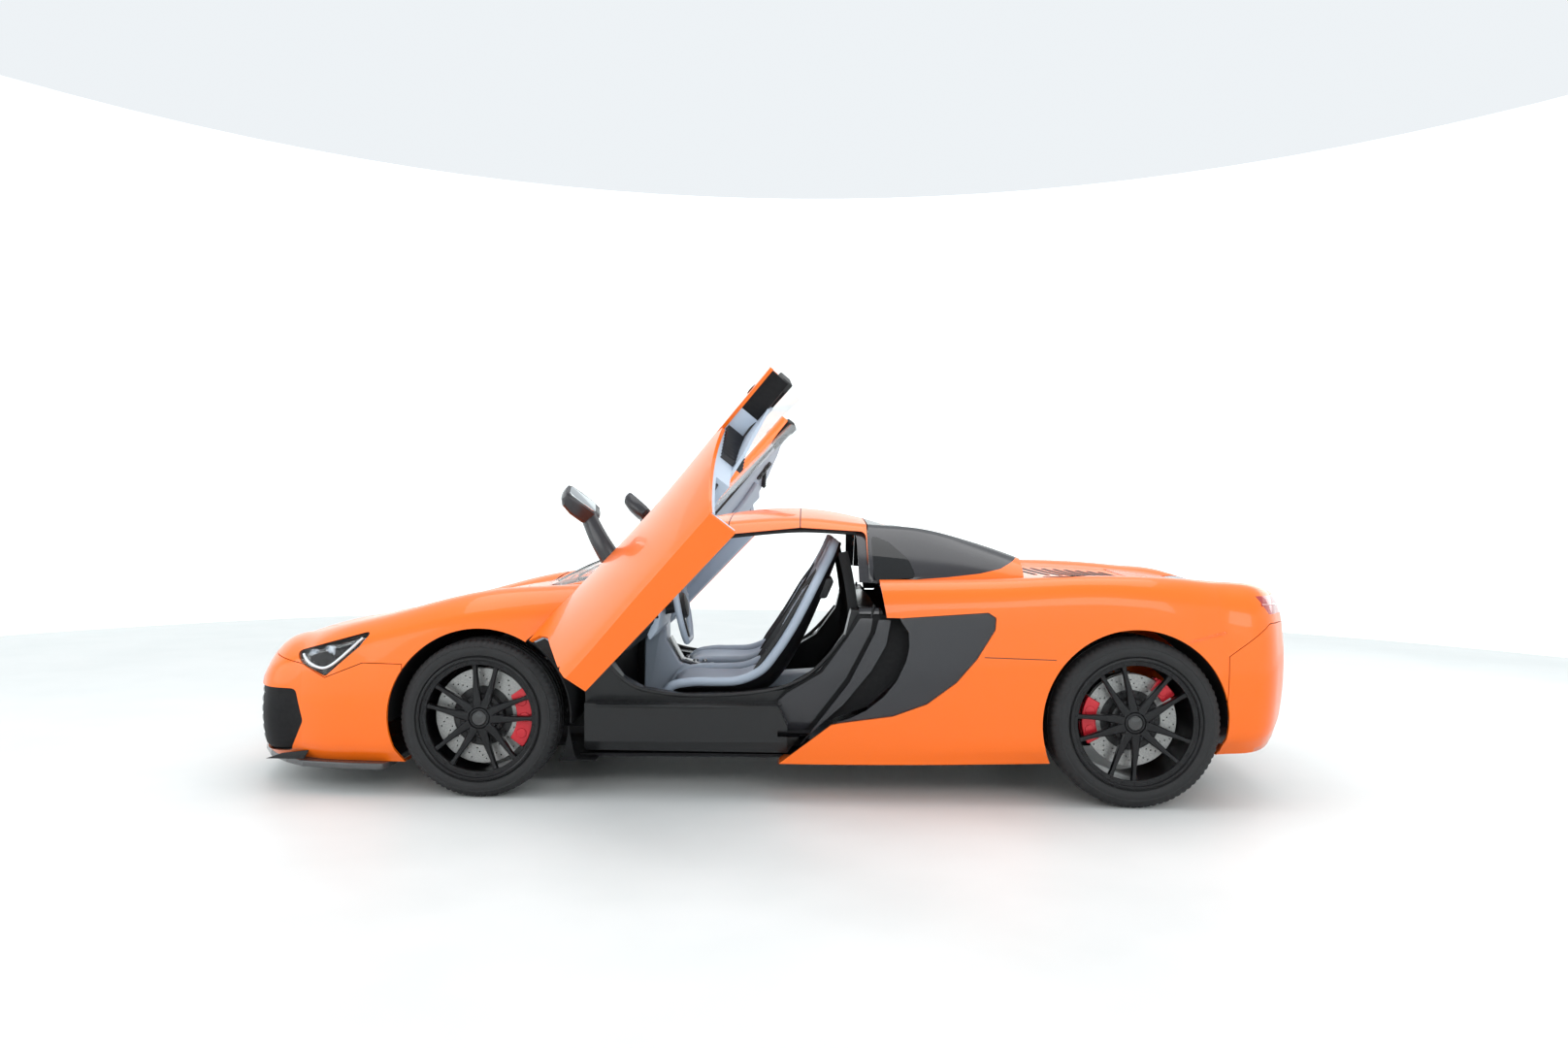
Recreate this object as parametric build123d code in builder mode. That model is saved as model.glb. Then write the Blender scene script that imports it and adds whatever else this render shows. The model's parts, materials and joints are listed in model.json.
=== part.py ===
"""Mid-engined two-seat sports car with a folding hardtop and doors that swing up and forward.

Millimetres. +Z is up, the nose points along -X, the left side is at -Y, and the tyres stand on Z = 0.
The body is one lofted hull: its sections come from the HULL table, its skin is cut into panels by
side-view and plan-view outlines, and the left panels are mirrored to the right. The doors are built
closed and then swung open about their slanted hinge axes.
"""

import os
from collections import namedtuple
from math import cos, radians, sin

from build123d import *

# ---------------------------------------------------------------- driving dimensions
WHEELBASE = 2670
FRONT_AXLE_X = -1161
REAR_AXLE_X = FRONT_AXLE_X + WHEELBASE
NOSE_X = -2256
TAIL_X = 2256
HALF_WIDTH = 954

PANEL = 14                 # skin thickness of the outer panels
DOOR_DEPTH = 95            # a door from its outer skin to its inner face
ROOF_SKIN = 30             # roof, pillars and buttresses
GLASS = 6
SHUT_GAP = 6               # between panels, and round everything that opens
FIT = 0.5                  # between pieces of one body that sit on each other

Wheel = namedtuple("Wheel", "x track_y radius width rim_radius rim_width face_y disc_y disc_radius phase")
FRONT_WHEEL = Wheel(FRONT_AXLE_X, 828, 323.5, 235, 252, 232, 922, 838, 197, 12)
REAR_WHEEL = Wheel(REAR_AXLE_X, 791.5, 345.5, 305, 266, 298, 922, 826, 190, 42)
FRONT_ARCH_RADIUS = 368
REAR_ARCH_RADIUS = 380
SPOKE_PAIRS = 5
LUG_CIRCLE = 112
LUGS = 5

DISC_HALF = 17             # half the thickness of a brake disc
DISC_GAP = 6               # between the disc and what stands beside it
CALIPER_HALF = 44
SPINDLE = 36
JOINT_LOW, JOINT_HIGH = 150, 165   # ball joints below and above the axle
ENGINE_HALF = 330
RAIL_INNER, RAIL_OUTER = 330, 400  # front rails, which carry the wishbones
LINER = 6
ARCH_INNER = 552           # the wheel housings reach this far inboard

DOOR_AXIS_POINT = (-872, -898, 746)
DOOR_AXIS = (-0.754, -0.440, -0.487)
DOOR_OPEN_ANGLE = 76.7
HINGE_ALONG = -309         # the door's hinge pin, measured along its axis from the axis point
PIN_RADIUS = 7
PIN_PLAY = 0.3

# ---------------------------------------------------------------- section tables
# One row per cross-section of the hull, nose to tail. Half widths and heights of, from below:
# the floor's edge, the sill, the widest point of the side, the waist, the crest over the wheels,
# the edge of the deck, and the height of the deck on the centre line.
# The last column says how many times deeper the skin's inner face is drawn where the hull closes fast.
Hull = namedtuple("Hull", "x floor_y floor_z sill_y sill_z side_y side_z waist_y waist_z "
                          "crest_y crest_z deck_y deck_z mid_z wall")
HULL = [
    Hull(NOSE_X, 210, 172, 280, 205, 330, 285, 320, 350, 250, 392, 140, 408, 412, 3),
    Hull(NOSE_X + 16, 330, 150, 400, 190, 430, 280, 420, 360, 330, 410, 180, 428, 432, 3),
    Hull(-2130, 640, 125, 740, 180, 775, 330, 745, 455, 610, 545, 420, 566, 578, 1.4),
    Hull(-1900, 810, 116, 885, 190, 912, 400, 880, 560, 740, 640, 560, 640, 655, 1),
    Hull(-1600, 860, 116, 925, 190, 948, 460, 905, 640, 780, 722, 600, 690, 722, 1),
    Hull(-1161, 880, 130, 930, 200, 954, 500, 920, 735, 790, 832, 610, 796, 815, 1),
    Hull(-800, 872, 145, 902, 200, 930, 520, 900, 745, 800, 850, 620, 838, 858, 1),
    Hull(-300, 893, 152, 908, 205, 922, 520, 884, 760, 806, 868, 660, 862, 880, 1),
    Hull(300, 908, 155, 922, 215, 938, 520, 904, 790, 850, 878, 690, 884, 900, 1),
    Hull(900, 900, 164, 932, 230, 952, 540, 932, 800, 876, 898, 740, 900, 915, 1),
    Hull(1400, 880, 178, 935, 250, 954, 560, 935, 815, 872, 925, 740, 915, 905, 1),
    Hull(1850, 840, 205, 905, 280, 930, 560, 895, 800, 815, 905, 660, 892, 876, 1),
    Hull(2120, 740, 250, 800, 330, 835, 560, 805, 760, 720, 868, 540, 858, 850, 1.5),
    Hull(2190, 600, 290, 650, 370, 690, 560, 665, 740, 590, 838, 440, 842, 843, 3),
    Hull(TAIL_X - 20, 360, 330, 400, 400, 430, 560, 410, 720, 350, 814, 250, 824, 828, 4),
    Hull(TAIL_X, 150, 340, 180, 420, 200, 560, 190, 700, 165, 790, 110, 802, 806, 1),
]

# One row per cross-section of the greenhouse: its foot inside the hull, the middle of the side
# window, the rail of the roof or the top of the buttress, and the height on the centre line.
Green = namedtuple("Green", "x foot_y foot_z glass_y glass_z rail_y rail_z mid_z")
GREEN = [
    Green(-1030, 545, 770, 540, 800, 520, 828, 846),
    Green(-800, 720, 770, 722, 820, 712, 866, 948),
    Green(-643, 812, 790, 812, 850, 800, 889, 1020),
    Green(-474, 824, 800, 780, 910, 700, 1002, 1092),
    Green(-306, 826, 800, 752, 975, 605, 1112, 1150),
    Green(-120, 828, 800, 745, 990, 590, 1138, 1186),
    Green(142, 828, 800, 745, 995, 590, 1152, 1203),
    Green(424, 826, 800, 745, 985, 585, 1132, 1162),
    Green(672, 820, 800, 745, 960, 575, 1116, 1082),
    Green(882, 800, 800, 740, 950, 590, 1064, 1005),
    Green(1060, 780, 800, 730, 930, 610, 1006, 915),
    Green(1260, 740, 790, 710, 880, 630, 925, 870),
]


# ---------------------------------------------------------------- helpers
def mirrored(point):
    """A section point on the other side of the centre line."""
    return (-point[0], point[1])


def hull_outline(row, inset):
    """Section points of the hull, sill to deck, all moved inwards by inset."""
    inset = inset * row.wall
    return [
        (row.floor_y - inset, row.floor_z + inset),
        (row.sill_y - inset, row.sill_z + 0.6 * inset),
        (row.side_y - inset, row.side_z),
        (row.waist_y - inset, row.waist_z - 0.3 * inset),
        (row.crest_y - 0.5 * inset, row.crest_z - inset),
        (row.deck_y, row.deck_z - inset),
        (0, row.mid_z - inset),
    ]


def hull_skin(outer, inner, rows=HULL):
    """The left half of the hull's skin between two depths below its surface, through some of its sections."""
    with BuildPart() as skin:
        for row in rows:
            floor, sill, side, waist, crest, deck, mid = map(mirrored, hull_outline(row, outer))
            (floor_in, sill_in, side_in, waist_in,
             crest_in, deck_in, mid_in) = map(mirrored, hull_outline(row, inner))
            with BuildSketch(Plane.YZ.offset(row.x)):
                with BuildLine():
                    Polyline((0, floor[1]), floor, sill)
                    ThreePointArc(sill, side, waist)
                    ThreePointArc(waist, crest, deck)
                    TangentArc(mid, deck, tangent=(-1, 0))
                    Line(mid, mid_in)
                    TangentArc(mid_in, deck_in, tangent=(-1, 0))
                    ThreePointArc(waist_in, crest_in, deck_in)
                    ThreePointArc(sill_in, side_in, waist_in)
                    Polyline(sill_in, floor_in, (0, floor_in[1]), (0, floor[1]))
                make_face()
        loft(ruled=True)
    return skin.part


def hull_end(rows):
    """The left half of the hull's closed nose or tail, solid between its last two sections."""
    with BuildPart() as end:
        for row in rows:
            floor, sill, side, waist, crest, deck, mid = map(mirrored, hull_outline(row, 0))
            with BuildSketch(Plane.YZ.offset(row.x)):
                with BuildLine():
                    Polyline(mid, (0, floor[1]), floor, sill)
                    ThreePointArc(sill, side, waist)
                    ThreePointArc(waist, crest, deck)
                    TangentArc(mid, deck, tangent=(-1, 0))
                make_face()
        loft(ruled=True)
    return end.part


def green_outline(row, inset):
    """Section points of the greenhouse, foot to centre line, all moved inwards by inset."""
    return [
        (row.foot_y - inset, row.foot_z),
        (row.glass_y - 0.8 * inset, row.glass_z - 0.4 * inset),
        (row.rail_y - 0.6 * inset, row.rail_z - inset),
        (0, row.mid_z - inset),
    ]


def greenhouse_skin(outer, inner):
    """The left half of the greenhouse's skin between two depths below its surface."""
    with BuildPart() as skin:
        for row in GREEN:
            foot, glass, rail, mid = map(mirrored, green_outline(row, outer))
            foot_in, glass_in, rail_in, mid_in = map(mirrored, green_outline(row, inner))
            with BuildSketch(Plane.YZ.offset(row.x)):
                with BuildLine():
                    ThreePointArc(foot, glass, rail)
                    TangentArc(mid, rail, tangent=(-1, 0))
                    Line(mid, mid_in)
                    TangentArc(mid_in, rail_in, tangent=(-1, 0))
                    ThreePointArc(foot_in, glass_in, rail_in)
                    Line(foot_in, foot)
                make_face()
        loft(ruled=True)
    return skin.part


def side_prism(points, inner, outer, radius=0):
    """Left-hand prism of a side-view outline (x, z) between two half widths."""
    with BuildPart() as prism:
        with BuildSketch(Plane.XZ.offset(inner)) as sketch:
            with BuildLine():
                Polyline(*points, close=True)
            make_face()
            if radius:
                fillet(sketch.vertices(), radius)
        extrude(amount=outer - inner)
    return prism.part


def plan_prism(points, low, high, radius=0):
    """Prism of a plan-view outline (x, y) between two heights."""
    with BuildPart() as prism:
        with BuildSketch(Plane.XY.offset(low)) as sketch:
            with BuildLine():
                Polyline(*points, close=True)
            make_face()
            if radius:
                fillet(sketch.vertices(), radius)
        extrude(amount=high - low)
    return prism.part


def box(x0, x1, y0, y1, z0, z1):
    """Block between two corners."""
    with BuildPart() as block:
        with Locations(((x0 + x1) / 2, (y0 + y1) / 2, (z0 + z1) / 2)):
            Box(abs(x1 - x0), abs(y1 - y0), abs(z1 - z0))
    return block.part


def both_sides(part):
    """The left-hand solids together with their mirror images."""
    with BuildPart() as pair:
        add(part)
        mirror(about=Plane.XZ)
    return pair.part


def swung(part, side):
    """A door piece turned from closed to open; side is -1 on the left and +1 on the right."""
    x, y, z = DOOR_AXIS_POINT
    ax, ay, az = DOOR_AXIS
    axis = Axis((x, -side * y, z), (ax, -side * ay, az))
    return part.rotate(axis, -side * DOOR_OPEN_ANGLE)


def save(part, name):
    """Label a finished piece and write it."""
    part.label = name
    export_step(part, f"parts/{name}.step")


# ---------------------------------------------------------------- shared outlines
ARCH_DOOR_TOP = (-970, 637)
ARCH_DOOR_MID = (-793, 323)
DOOR_OUTLINE = [
    ARCH_DOOR_TOP, (-826, 762), (-643, 882), (-500, 878), (470, 886), (495, 752), (150, 748), (205, 700),
    (62, 157), (-765, 157), ARCH_DOOR_MID, (-826, 475), (-890, 572),
]


def door_prism(gap, inner, outer):
    """Left-hand prism of the door's outline, larger by gap all round."""
    with BuildPart() as prism:
        with BuildSketch(Plane.XZ.offset(inner)):
            with BuildLine():
                Polyline(*DOOR_OUTLINE, close=True)
            make_face()
            if gap:
                offset(amount=gap, kind=Kind.INTERSECTION)
        extrude(amount=outer - inner)
    return prism.part


def arch_cutters(extra=0):
    """Drums that open the four wheel arches."""
    with BuildPart() as drums:
        for wheel, radius in ((FRONT_WHEEL, FRONT_ARCH_RADIUS), (REAR_WHEEL, REAR_ARCH_RADIUS)):
            with BuildSketch(Plane.XZ.offset(ARCH_INNER)):
                with Locations((wheel.x, wheel.radius)):
                    Circle(radius + extra)
            extrude(amount=HALF_WIDTH)
    return drums.part


def wheel_drum(extra, outer):
    """Drum round the front left wheel housing that reaches out to a half width."""
    with BuildPart() as drum:
        with BuildSketch(Plane.XZ.offset(ARCH_INNER)):
            with Locations((FRONT_WHEEL.x, FRONT_WHEEL.radius)):
                Circle(FRONT_ARCH_RADIUS + extra)
        extrude(amount=outer - ARCH_INNER)
    return drum.part


# ---------------------------------------------------------------- wheels
def make_tyre(wheel):
    """A low-profile tyre, revolved about the axle at the origin, outboard along -Y."""
    half, bead = wheel.width / 2, wheel.rim_radius - 10
    with BuildPart() as tyre:
        with BuildSketch(Plane.XY) as profile:
            with BuildLine():
                Polyline(
                    (bead, -half + 12), (bead + 14, -half + 12), (bead + 30, -half + 2), (bead + 52, -half),
                    (wheel.radius - 22, -half + 6),
                    (wheel.radius - 4, -half + 24), (wheel.radius, -half + 40), (wheel.radius, half - 40),
                    (wheel.radius - 4, half - 24), (wheel.radius - 22, half - 6), (bead + 52, half),
                    (bead + 30, half - 2), (bead + 14, half - 12), (bead, half - 12), (bead, half - 30),
                    (bead + 20, half - 16),
                    (wheel.radius - 16, half - 22), (wheel.radius - 16, -half + 22), (bead + 20, -half + 16),
                    (bead, -half + 30), close=True)
            make_face()
        revolve(axis=Axis.Y)
    return tyre.part


def spoke_points(wheel, angle, lean):
    """Corners of one slim spoke in the wheel's plane, from the hub to the rim."""
    root, tip = 52, wheel.rim_radius - 26
    a, b = radians(angle + lean * 16), radians(angle + lean * 12.5)
    start = (root * cos(a), root * sin(a))
    end = (tip * cos(b), tip * sin(b))
    nx, nz = -sin(b), cos(b)
    return [
        (start[0] + 13 * nx, start[1] + 13 * nz), (end[0] + 7 * nx, end[1] + 7 * nz),
        (end[0] - 7 * nx, end[1] - 7 * nz), (start[0] - 13 * nx, start[1] - 13 * nz),
    ]


def make_rim(wheel):
    """A three-piece wheel: barrel with a stepped lip, hub and five pairs of slim spokes."""
    half, outer = wheel.rim_width / 2, wheel.rim_radius
    seat, drop = outer - 11, outer - 24
    face = wheel.face_y - wheel.track_y
    with BuildPart() as rim:
        with BuildSketch(Plane.XY):
            with BuildLine():
                Polyline(
                    (outer, -half), (outer, -half + 8), (seat, -half + 8), (seat, -half + 40),
                    (drop, -half + 60), (drop, half - 44), (seat, half - 30), (seat, half - 8),
                    (outer, half - 8), (outer, half), (seat - 6, half), (seat - 6, half - 26),
                    (drop - 6, half - 40), (drop - 6, -half + 56), (seat - 6, -half + 36), (seat - 6, -half),
                    close=True)
            make_face()
        revolve(axis=Axis.Y)
        with BuildSketch(Plane.XZ.offset(face - 32)):
            Circle(74)
            for pair in range(SPOKE_PAIRS):
                for lean in (-1, 1):
                    with BuildLine():
                        Polyline(*spoke_points(wheel, wheel.phase + 360 / SPOKE_PAIRS * pair, lean), close=True)
                    make_face()
            with PolarLocations(LUG_CIRCLE / 2, LUGS, start_angle=wheel.phase + 36):
                Circle(7, mode=Mode.SUBTRACT)
        extrude(amount=32)
    return rim.part


def make_disc(wheel):
    """A cross-drilled brake disc with its hat, which reaches the wheel's hub."""
    plane = wheel.disc_y - wheel.track_y
    face = wheel.face_y - wheel.track_y - 32
    with BuildPart() as disc:
        with BuildSketch(Plane.XZ.offset(plane - DISC_HALF)):
            Circle(wheel.disc_radius)
            Circle(70, mode=Mode.SUBTRACT)
            with PolarLocations(160, 18):
                Circle(4, mode=Mode.SUBTRACT)
        extrude(amount=2 * DISC_HALF)
        with BuildSketch(Plane.XZ.offset(plane - 10)):
            Circle(92)
            Circle(SPINDLE + PIN_PLAY, mode=Mode.SUBTRACT)
        extrude(amount=face - plane + 10 - FIT)
    return disc.part


def make_caliper(wheel, middle, span, inner=140):
    """A brake caliper that straddles its disc, at an angle round the axle."""
    plane = wheel.disc_y - wheel.track_y
    outer = wheel.disc_radius + 17
    with BuildPart() as caliper:
        with BuildSketch(Plane.XZ.offset(plane - CALIPER_HALF)):
            with BuildLine():
                low, high = radians(middle - span / 2), radians(middle + span / 2)
                mid = radians(middle)
                a = (inner * cos(low), inner * sin(low))
                b = (outer * cos(low), outer * sin(low))
                c = (outer * cos(high), outer * sin(high))
                d = (inner * cos(high), inner * sin(high))
                Line(a, b)
                ThreePointArc(b, (outer * cos(mid), outer * sin(mid)), c)
                Line(c, d)
                ThreePointArc(d, (inner * cos(mid), inner * sin(mid)), a)
            make_face()
        extrude(amount=2 * CALIPER_HALF)
        with BuildSketch(Plane.XZ.offset(plane - DISC_HALF - DISC_GAP)):
            Circle(wheel.disc_radius + 5)
        extrude(amount=2 * (DISC_HALF + DISC_GAP), mode=Mode.SUBTRACT)
    return caliper.part


def place_wheel(part, wheel, side):
    """Put a wheel piece on its axle; the right-hand one is a mirror image."""
    if side > 0:
        part = mirror(part, about=Plane.XZ)
    return part.moved(Location((wheel.x, side * wheel.track_y, wheel.radius)))


def build_wheels():
    for wheel, end in ((FRONT_WHEEL, "front"), (REAR_WHEEL, "rear")):
        tyre, rim, disc = make_tyre(wheel), make_rim(wheel), make_disc(wheel)
        for side, hand in ((-1, "left"), (1, "right")):
            save(place_wheel(tyre, wheel, side), f"tyre_{end}_{hand}")
            save(place_wheel(rim, wheel, side), f"rim_{end}_{hand}")
            save(place_wheel(disc, wheel, side), f"disc_{end}_{hand}")


# ---------------------------------------------------------------- running gear
def post_offset(wheel):
    """Distance of the ball joints from the wheel's middle plane, outboard positive."""
    return wheel.disc_y - wheel.track_y - 54


def upright(wheel):
    """Hub carrier of one corner, about the axle at the origin: bearing, spindle and web between the ball joints."""
    disc_inner = wheel.disc_y - wheel.track_y - DISC_HALF
    with BuildPart() as carrier:
        with BuildSketch(Plane.XZ.offset(disc_inner - DISC_GAP - 60)):
            Circle(50)
        extrude(amount=60)
        with BuildSketch(Plane.XZ.offset(disc_inner - DISC_GAP - 1)):
            Circle(SPINDLE)
        extrude(amount=30)
        with BuildSketch(Plane.XZ.offset(post_offset(wheel) - 13)):
            with BuildLine():
                Polyline((-34, -JOINT_LOW), (34, -JOINT_LOW), (60, 0), (30, JOINT_HIGH), (-30, JOINT_HIGH),
                         (-60, 0), close=True)
            make_face()
        extrude(amount=26)
    return carrier.part


def caliper_bracket(wheel, middle):
    """Arm from the hub carrier to the caliper."""
    inner = wheel.disc_y - wheel.track_y - CALIPER_HALF
    with BuildPart() as bracket:
        with BuildSketch(Plane.XZ.offset(inner - FIT - 28)):
            with Locations(Location((0, 0, 0), (0, 0, middle))):
                with Locations((100, 0)):
                    Rectangle(120, 60)
        extrude(amount=28)
    return bracket.part


def tube(start, end, radius):
    """Straight round bar between two points."""
    a, b = Vector(*start), Vector(*end)
    with BuildPart() as bar:
        with BuildSketch(Plane(origin=a, z_dir=b - a)):
            Circle(radius)
        extrude(amount=(b - a).length)
    return bar.part


def wishbones(wheel, inner_y, half_base):
    """Upper and lower wishbones of one left-hand corner, each ending in a ball-joint housing."""
    outer_y = wheel.track_y + post_offset(wheel)
    with BuildPart() as arms:
        for height in (-JOINT_LOW - FIT - 13, JOINT_HIGH + FIT + 13):
            tip = (wheel.x, -outer_y, wheel.radius + height)
            with Locations(tip):
                Cylinder(18, 26)
            for fore_aft in (-1, 1):
                foot = (wheel.x + fore_aft * half_base, 20 - inner_y, wheel.radius + height * 0.5)
                lifted = (tip[0], tip[1], tip[2] + (5 if height > 0 else -5))
                add(tube(foot, lifted, 9))
    reach = box(wheel.x - 500, wheel.x + 500, -outer_y - 100, -inner_y, 0, 1000)
    return intersect_all(arms.part, reach)


def build_running_gear():
    with BuildPart() as carrier:
        add(upright(FRONT_WHEEL))
        add(caliper_bracket(FRONT_WHEEL, 0))
    for side, hand in ((-1, "left"), (1, "right")):
        save(place_wheel(carrier.part, FRONT_WHEEL, side), f"knuckle_{hand}")
        save(place_wheel(make_caliper(FRONT_WHEEL, 0, 76), FRONT_WHEEL, side), f"caliper_front_{hand}")
    with BuildPart() as rear_calipers:
        add(place_wheel(make_caliper(REAR_WHEEL, 180, 70), REAR_WHEEL, -1))
        add(place_wheel(make_caliper(REAR_WHEEL, 45, 34), REAR_WHEEL, -1))
    save(both_sides(rear_calipers.part), "rear_calipers")
    with BuildPart() as rear_corner:
        add(place_wheel(upright(REAR_WHEEL), REAR_WHEEL, -1))
        add(place_wheel(caliper_bracket(REAR_WHEEL, 180), REAR_WHEEL, -1))
        add(place_wheel(caliper_bracket(REAR_WHEEL, 45), REAR_WHEEL, -1))
        add(wishbones(REAR_WHEEL, ENGINE_HALF + FIT, 190))
    save(both_sides(rear_corner.part), "rear_suspension")
    save(both_sides(wishbones(FRONT_WHEEL, RAIL_OUTER + FIT, 190)), "front_wishbones")


# ---------------------------------------------------------------- hull panels
BONNET_PLAN = [(-2080, -300), (-1750, -520), (-1040, -560), (-1010, -300), (-1010, 300), (-1040, 560),
               (-1750, 520), (-2080, 300)]
BONNET_HINGE = (-1010 + SHUT_GAP / 2, 830)
COWL_PLAN = [(-1300, -575), (-1004, -572), (-700, -770), (-700, 770), (-1004, 572), (-1300, 575)]
HEADLAMP = [(-1945, 575), (-1620, 668), (-1660, 610), (-1793, 488), (-1905, 535)]
BUMPER_SIDE = [(-2300, 60), (-2300, 640), (-2085, 640), (-2085, 560), (-1905, 530), (-1793, 480),
               (-1640, 542), (-1473, 542), (-1473, 60)]
GRILLE_CORNER = [(-2300, 150), (-2300, 440), (-1925, 430), (-1890, 300), (-1960, 165)]
INTAKE = [(548, 757), (908, 786), (938, 716), (780, 500), (528, 360), (278, 322), (420, 380), (540, 500),
          (590, 640)]
SCOOP = [(150, 757), (548, 757), (590, 640), (540, 500), (420, 380), (278, 322), (62, 150), (205, 700)]
TAIL_SEAM = [(2300, 60), (2300, 752), (2060, 752), (1884, 620), (1870, 60)]
TAIL_LAMP = [(2010, 862), (2300, 862), (2300, 790), (2060, 790)]
CABIN_PLAN = [(-1000, 0), (-990, -380), (-890, -640), (-720, -770), (434, -770), (434, 0)]
LID_PLAN = [(433, 0), (433, -770), (1100, -640), (1100, 0)]
DECK_PLAN = [(1110, -560), (1770, -600), (1770, 600), (1110, 560)]
AIRBRAKE_PLAN = [(1790, -640), (2160, -560), (2262, -300), (2262, 300), (2160, 560), (1790, 640)]
AIRBRAKE_HINGE = (1790 - SHUT_GAP / 2, 888)
TONNEAU_HINGE = (1100 - SHUT_GAP / 2, 903)
WINDOW = [(-640, 700), (-560, 875), (-300, 1062), (-171, 1083), (142, 1116), (424, 1102), (436, 700)]
QUARTER_WINDOW = [(455, 900), (443, 1090), (520, 1060), (600, 990), (632, 915)]
SEAM_FRONT, SEAM_REAR, ROOF_END = -171, 142, 428
FLOOR_HALF = 785
BUMPER_BOTTOM = 132
SPLITTER_Z = 104
EXHAUST_Z = 640
DIFFUSER_X = 1867
JACK_PADS = [(-600, 16), (950, 34)]   # place along the car and depth up into the floor
JACK_PAD_Y, JACK_PAD_Z = 700, 138
EXHAUST_RADIUS = 48
TUB_HALF = 775
TUB_FLOOR = 172
SILL_SKIN = 34             # the door's thickness outside the sill
SILL_TOP = 384
TUB_SIDE = [(-745, TUB_FLOOR), (-760, 560), (-690, 740), (-640, 775), (-570, 775), (-600, 700), (-655, 530),
            (-610, 470), (-523, 422), (-359, 398), (-114, 406), (90, 438), (232, 522), (335, 666), (360, 775),
            (490, 775), (500, 740), (470, 620), (340, 494), (200, 311), (100, TUB_FLOOR)]


def intersect_all(*parts):
    """Common volume of several solids."""
    with BuildPart() as common:
        add(parts[0])
        for part in parts[1:]:
            add(part, mode=Mode.INTERSECT)
    return common.part


def less(part, *cutters):
    """A solid with others taken out of it."""
    with BuildPart() as rest:
        add(part)
        add(cutters, mode=Mode.SUBTRACT)
    return rest.part


def pushed_out(points, gap):
    """A plan-view outline that is symmetric in y, moved outwards by gap."""
    middle = sum(x for x, y in points) / len(points)
    return [(x + (gap if x > middle else -gap), y + (gap if y > 0 else -gap)) for x, y in points]


def main_solid(part):
    """The largest solid of a cut, without its slivers."""
    return part.solids().sort_by(SortBy.VOLUME)[-1]


def build_front(skin, door_gap):
    front = intersect_all(skin, box(-2300, -690, -1000, 0, 0, 1000))
    with BuildPart() as bonnet:
        add(main_solid(intersect_all(front, plan_prism(BONNET_PLAN, 500, 1000))))
        add(hinge_barrel(BONNET_HINGE, 80, 80, -1))
    save(both_sides(bonnet.part), "bonnet")
    cowl_region = plan_prism(COWL_PLAN, 600, 1000)
    rest = less(front, plan_prism(pushed_out(BONNET_PLAN, SHUT_GAP), 500, 1000), door_gap,
                plan_prism(CABIN_PLAN, 300, 1000), box(-2300, -600, -1000, 1000, 0, BUMPER_BOTTOM),
                box(-1473, -600, -FLOOR_HALF, 0, 0, 240))
    lamp = side_prism(HEADLAMP, 560, 1000)
    nose = side_prism(BUMPER_SIDE, 0, 1000)
    grille = side_prism(GRILLE_CORNER, 330, 1000)
    grille_seat = side_prism([(-2300, 135), (-2300, 455), (-1910, 445), (-1870, 300), (-1950, 145)], 315, 1000)
    save(both_sides(main_solid(intersect_all(rest, lamp))), "headlamps")
    save(both_sides(main_solid(intersect_all(rest, cowl_region))), "cowl")
    save(both_sides(main_solid(less(intersect_all(rest, nose), lamp, grille))), "front_bumper")
    door_sweep = side_prism([(-843, 751), (-690, 851), (-708, 879), (-861, 779)], 600, 1000)
    save(both_sides(main_solid(less(rest, nose, lamp, cowl_region, door_sweep))), "front_wings")
    save(both_sides(main_solid(intersect_all(hull_skin(PANEL + FIT, PANEL + 8, HULL[1:5]), grille_seat))),
         "front_grilles")
    save(plan_prism([(NOSE_X, -380), (-2120, -700), (-1900, -890), (-1560, -925), (-1540, -880),
                     (-1540, 880), (-1560, 925), (-1900, 890), (-2120, 700), (NOSE_X, 380)],
                    SPLITTER_Z, BUMPER_BOTTOM - FIT), "splitter")


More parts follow.
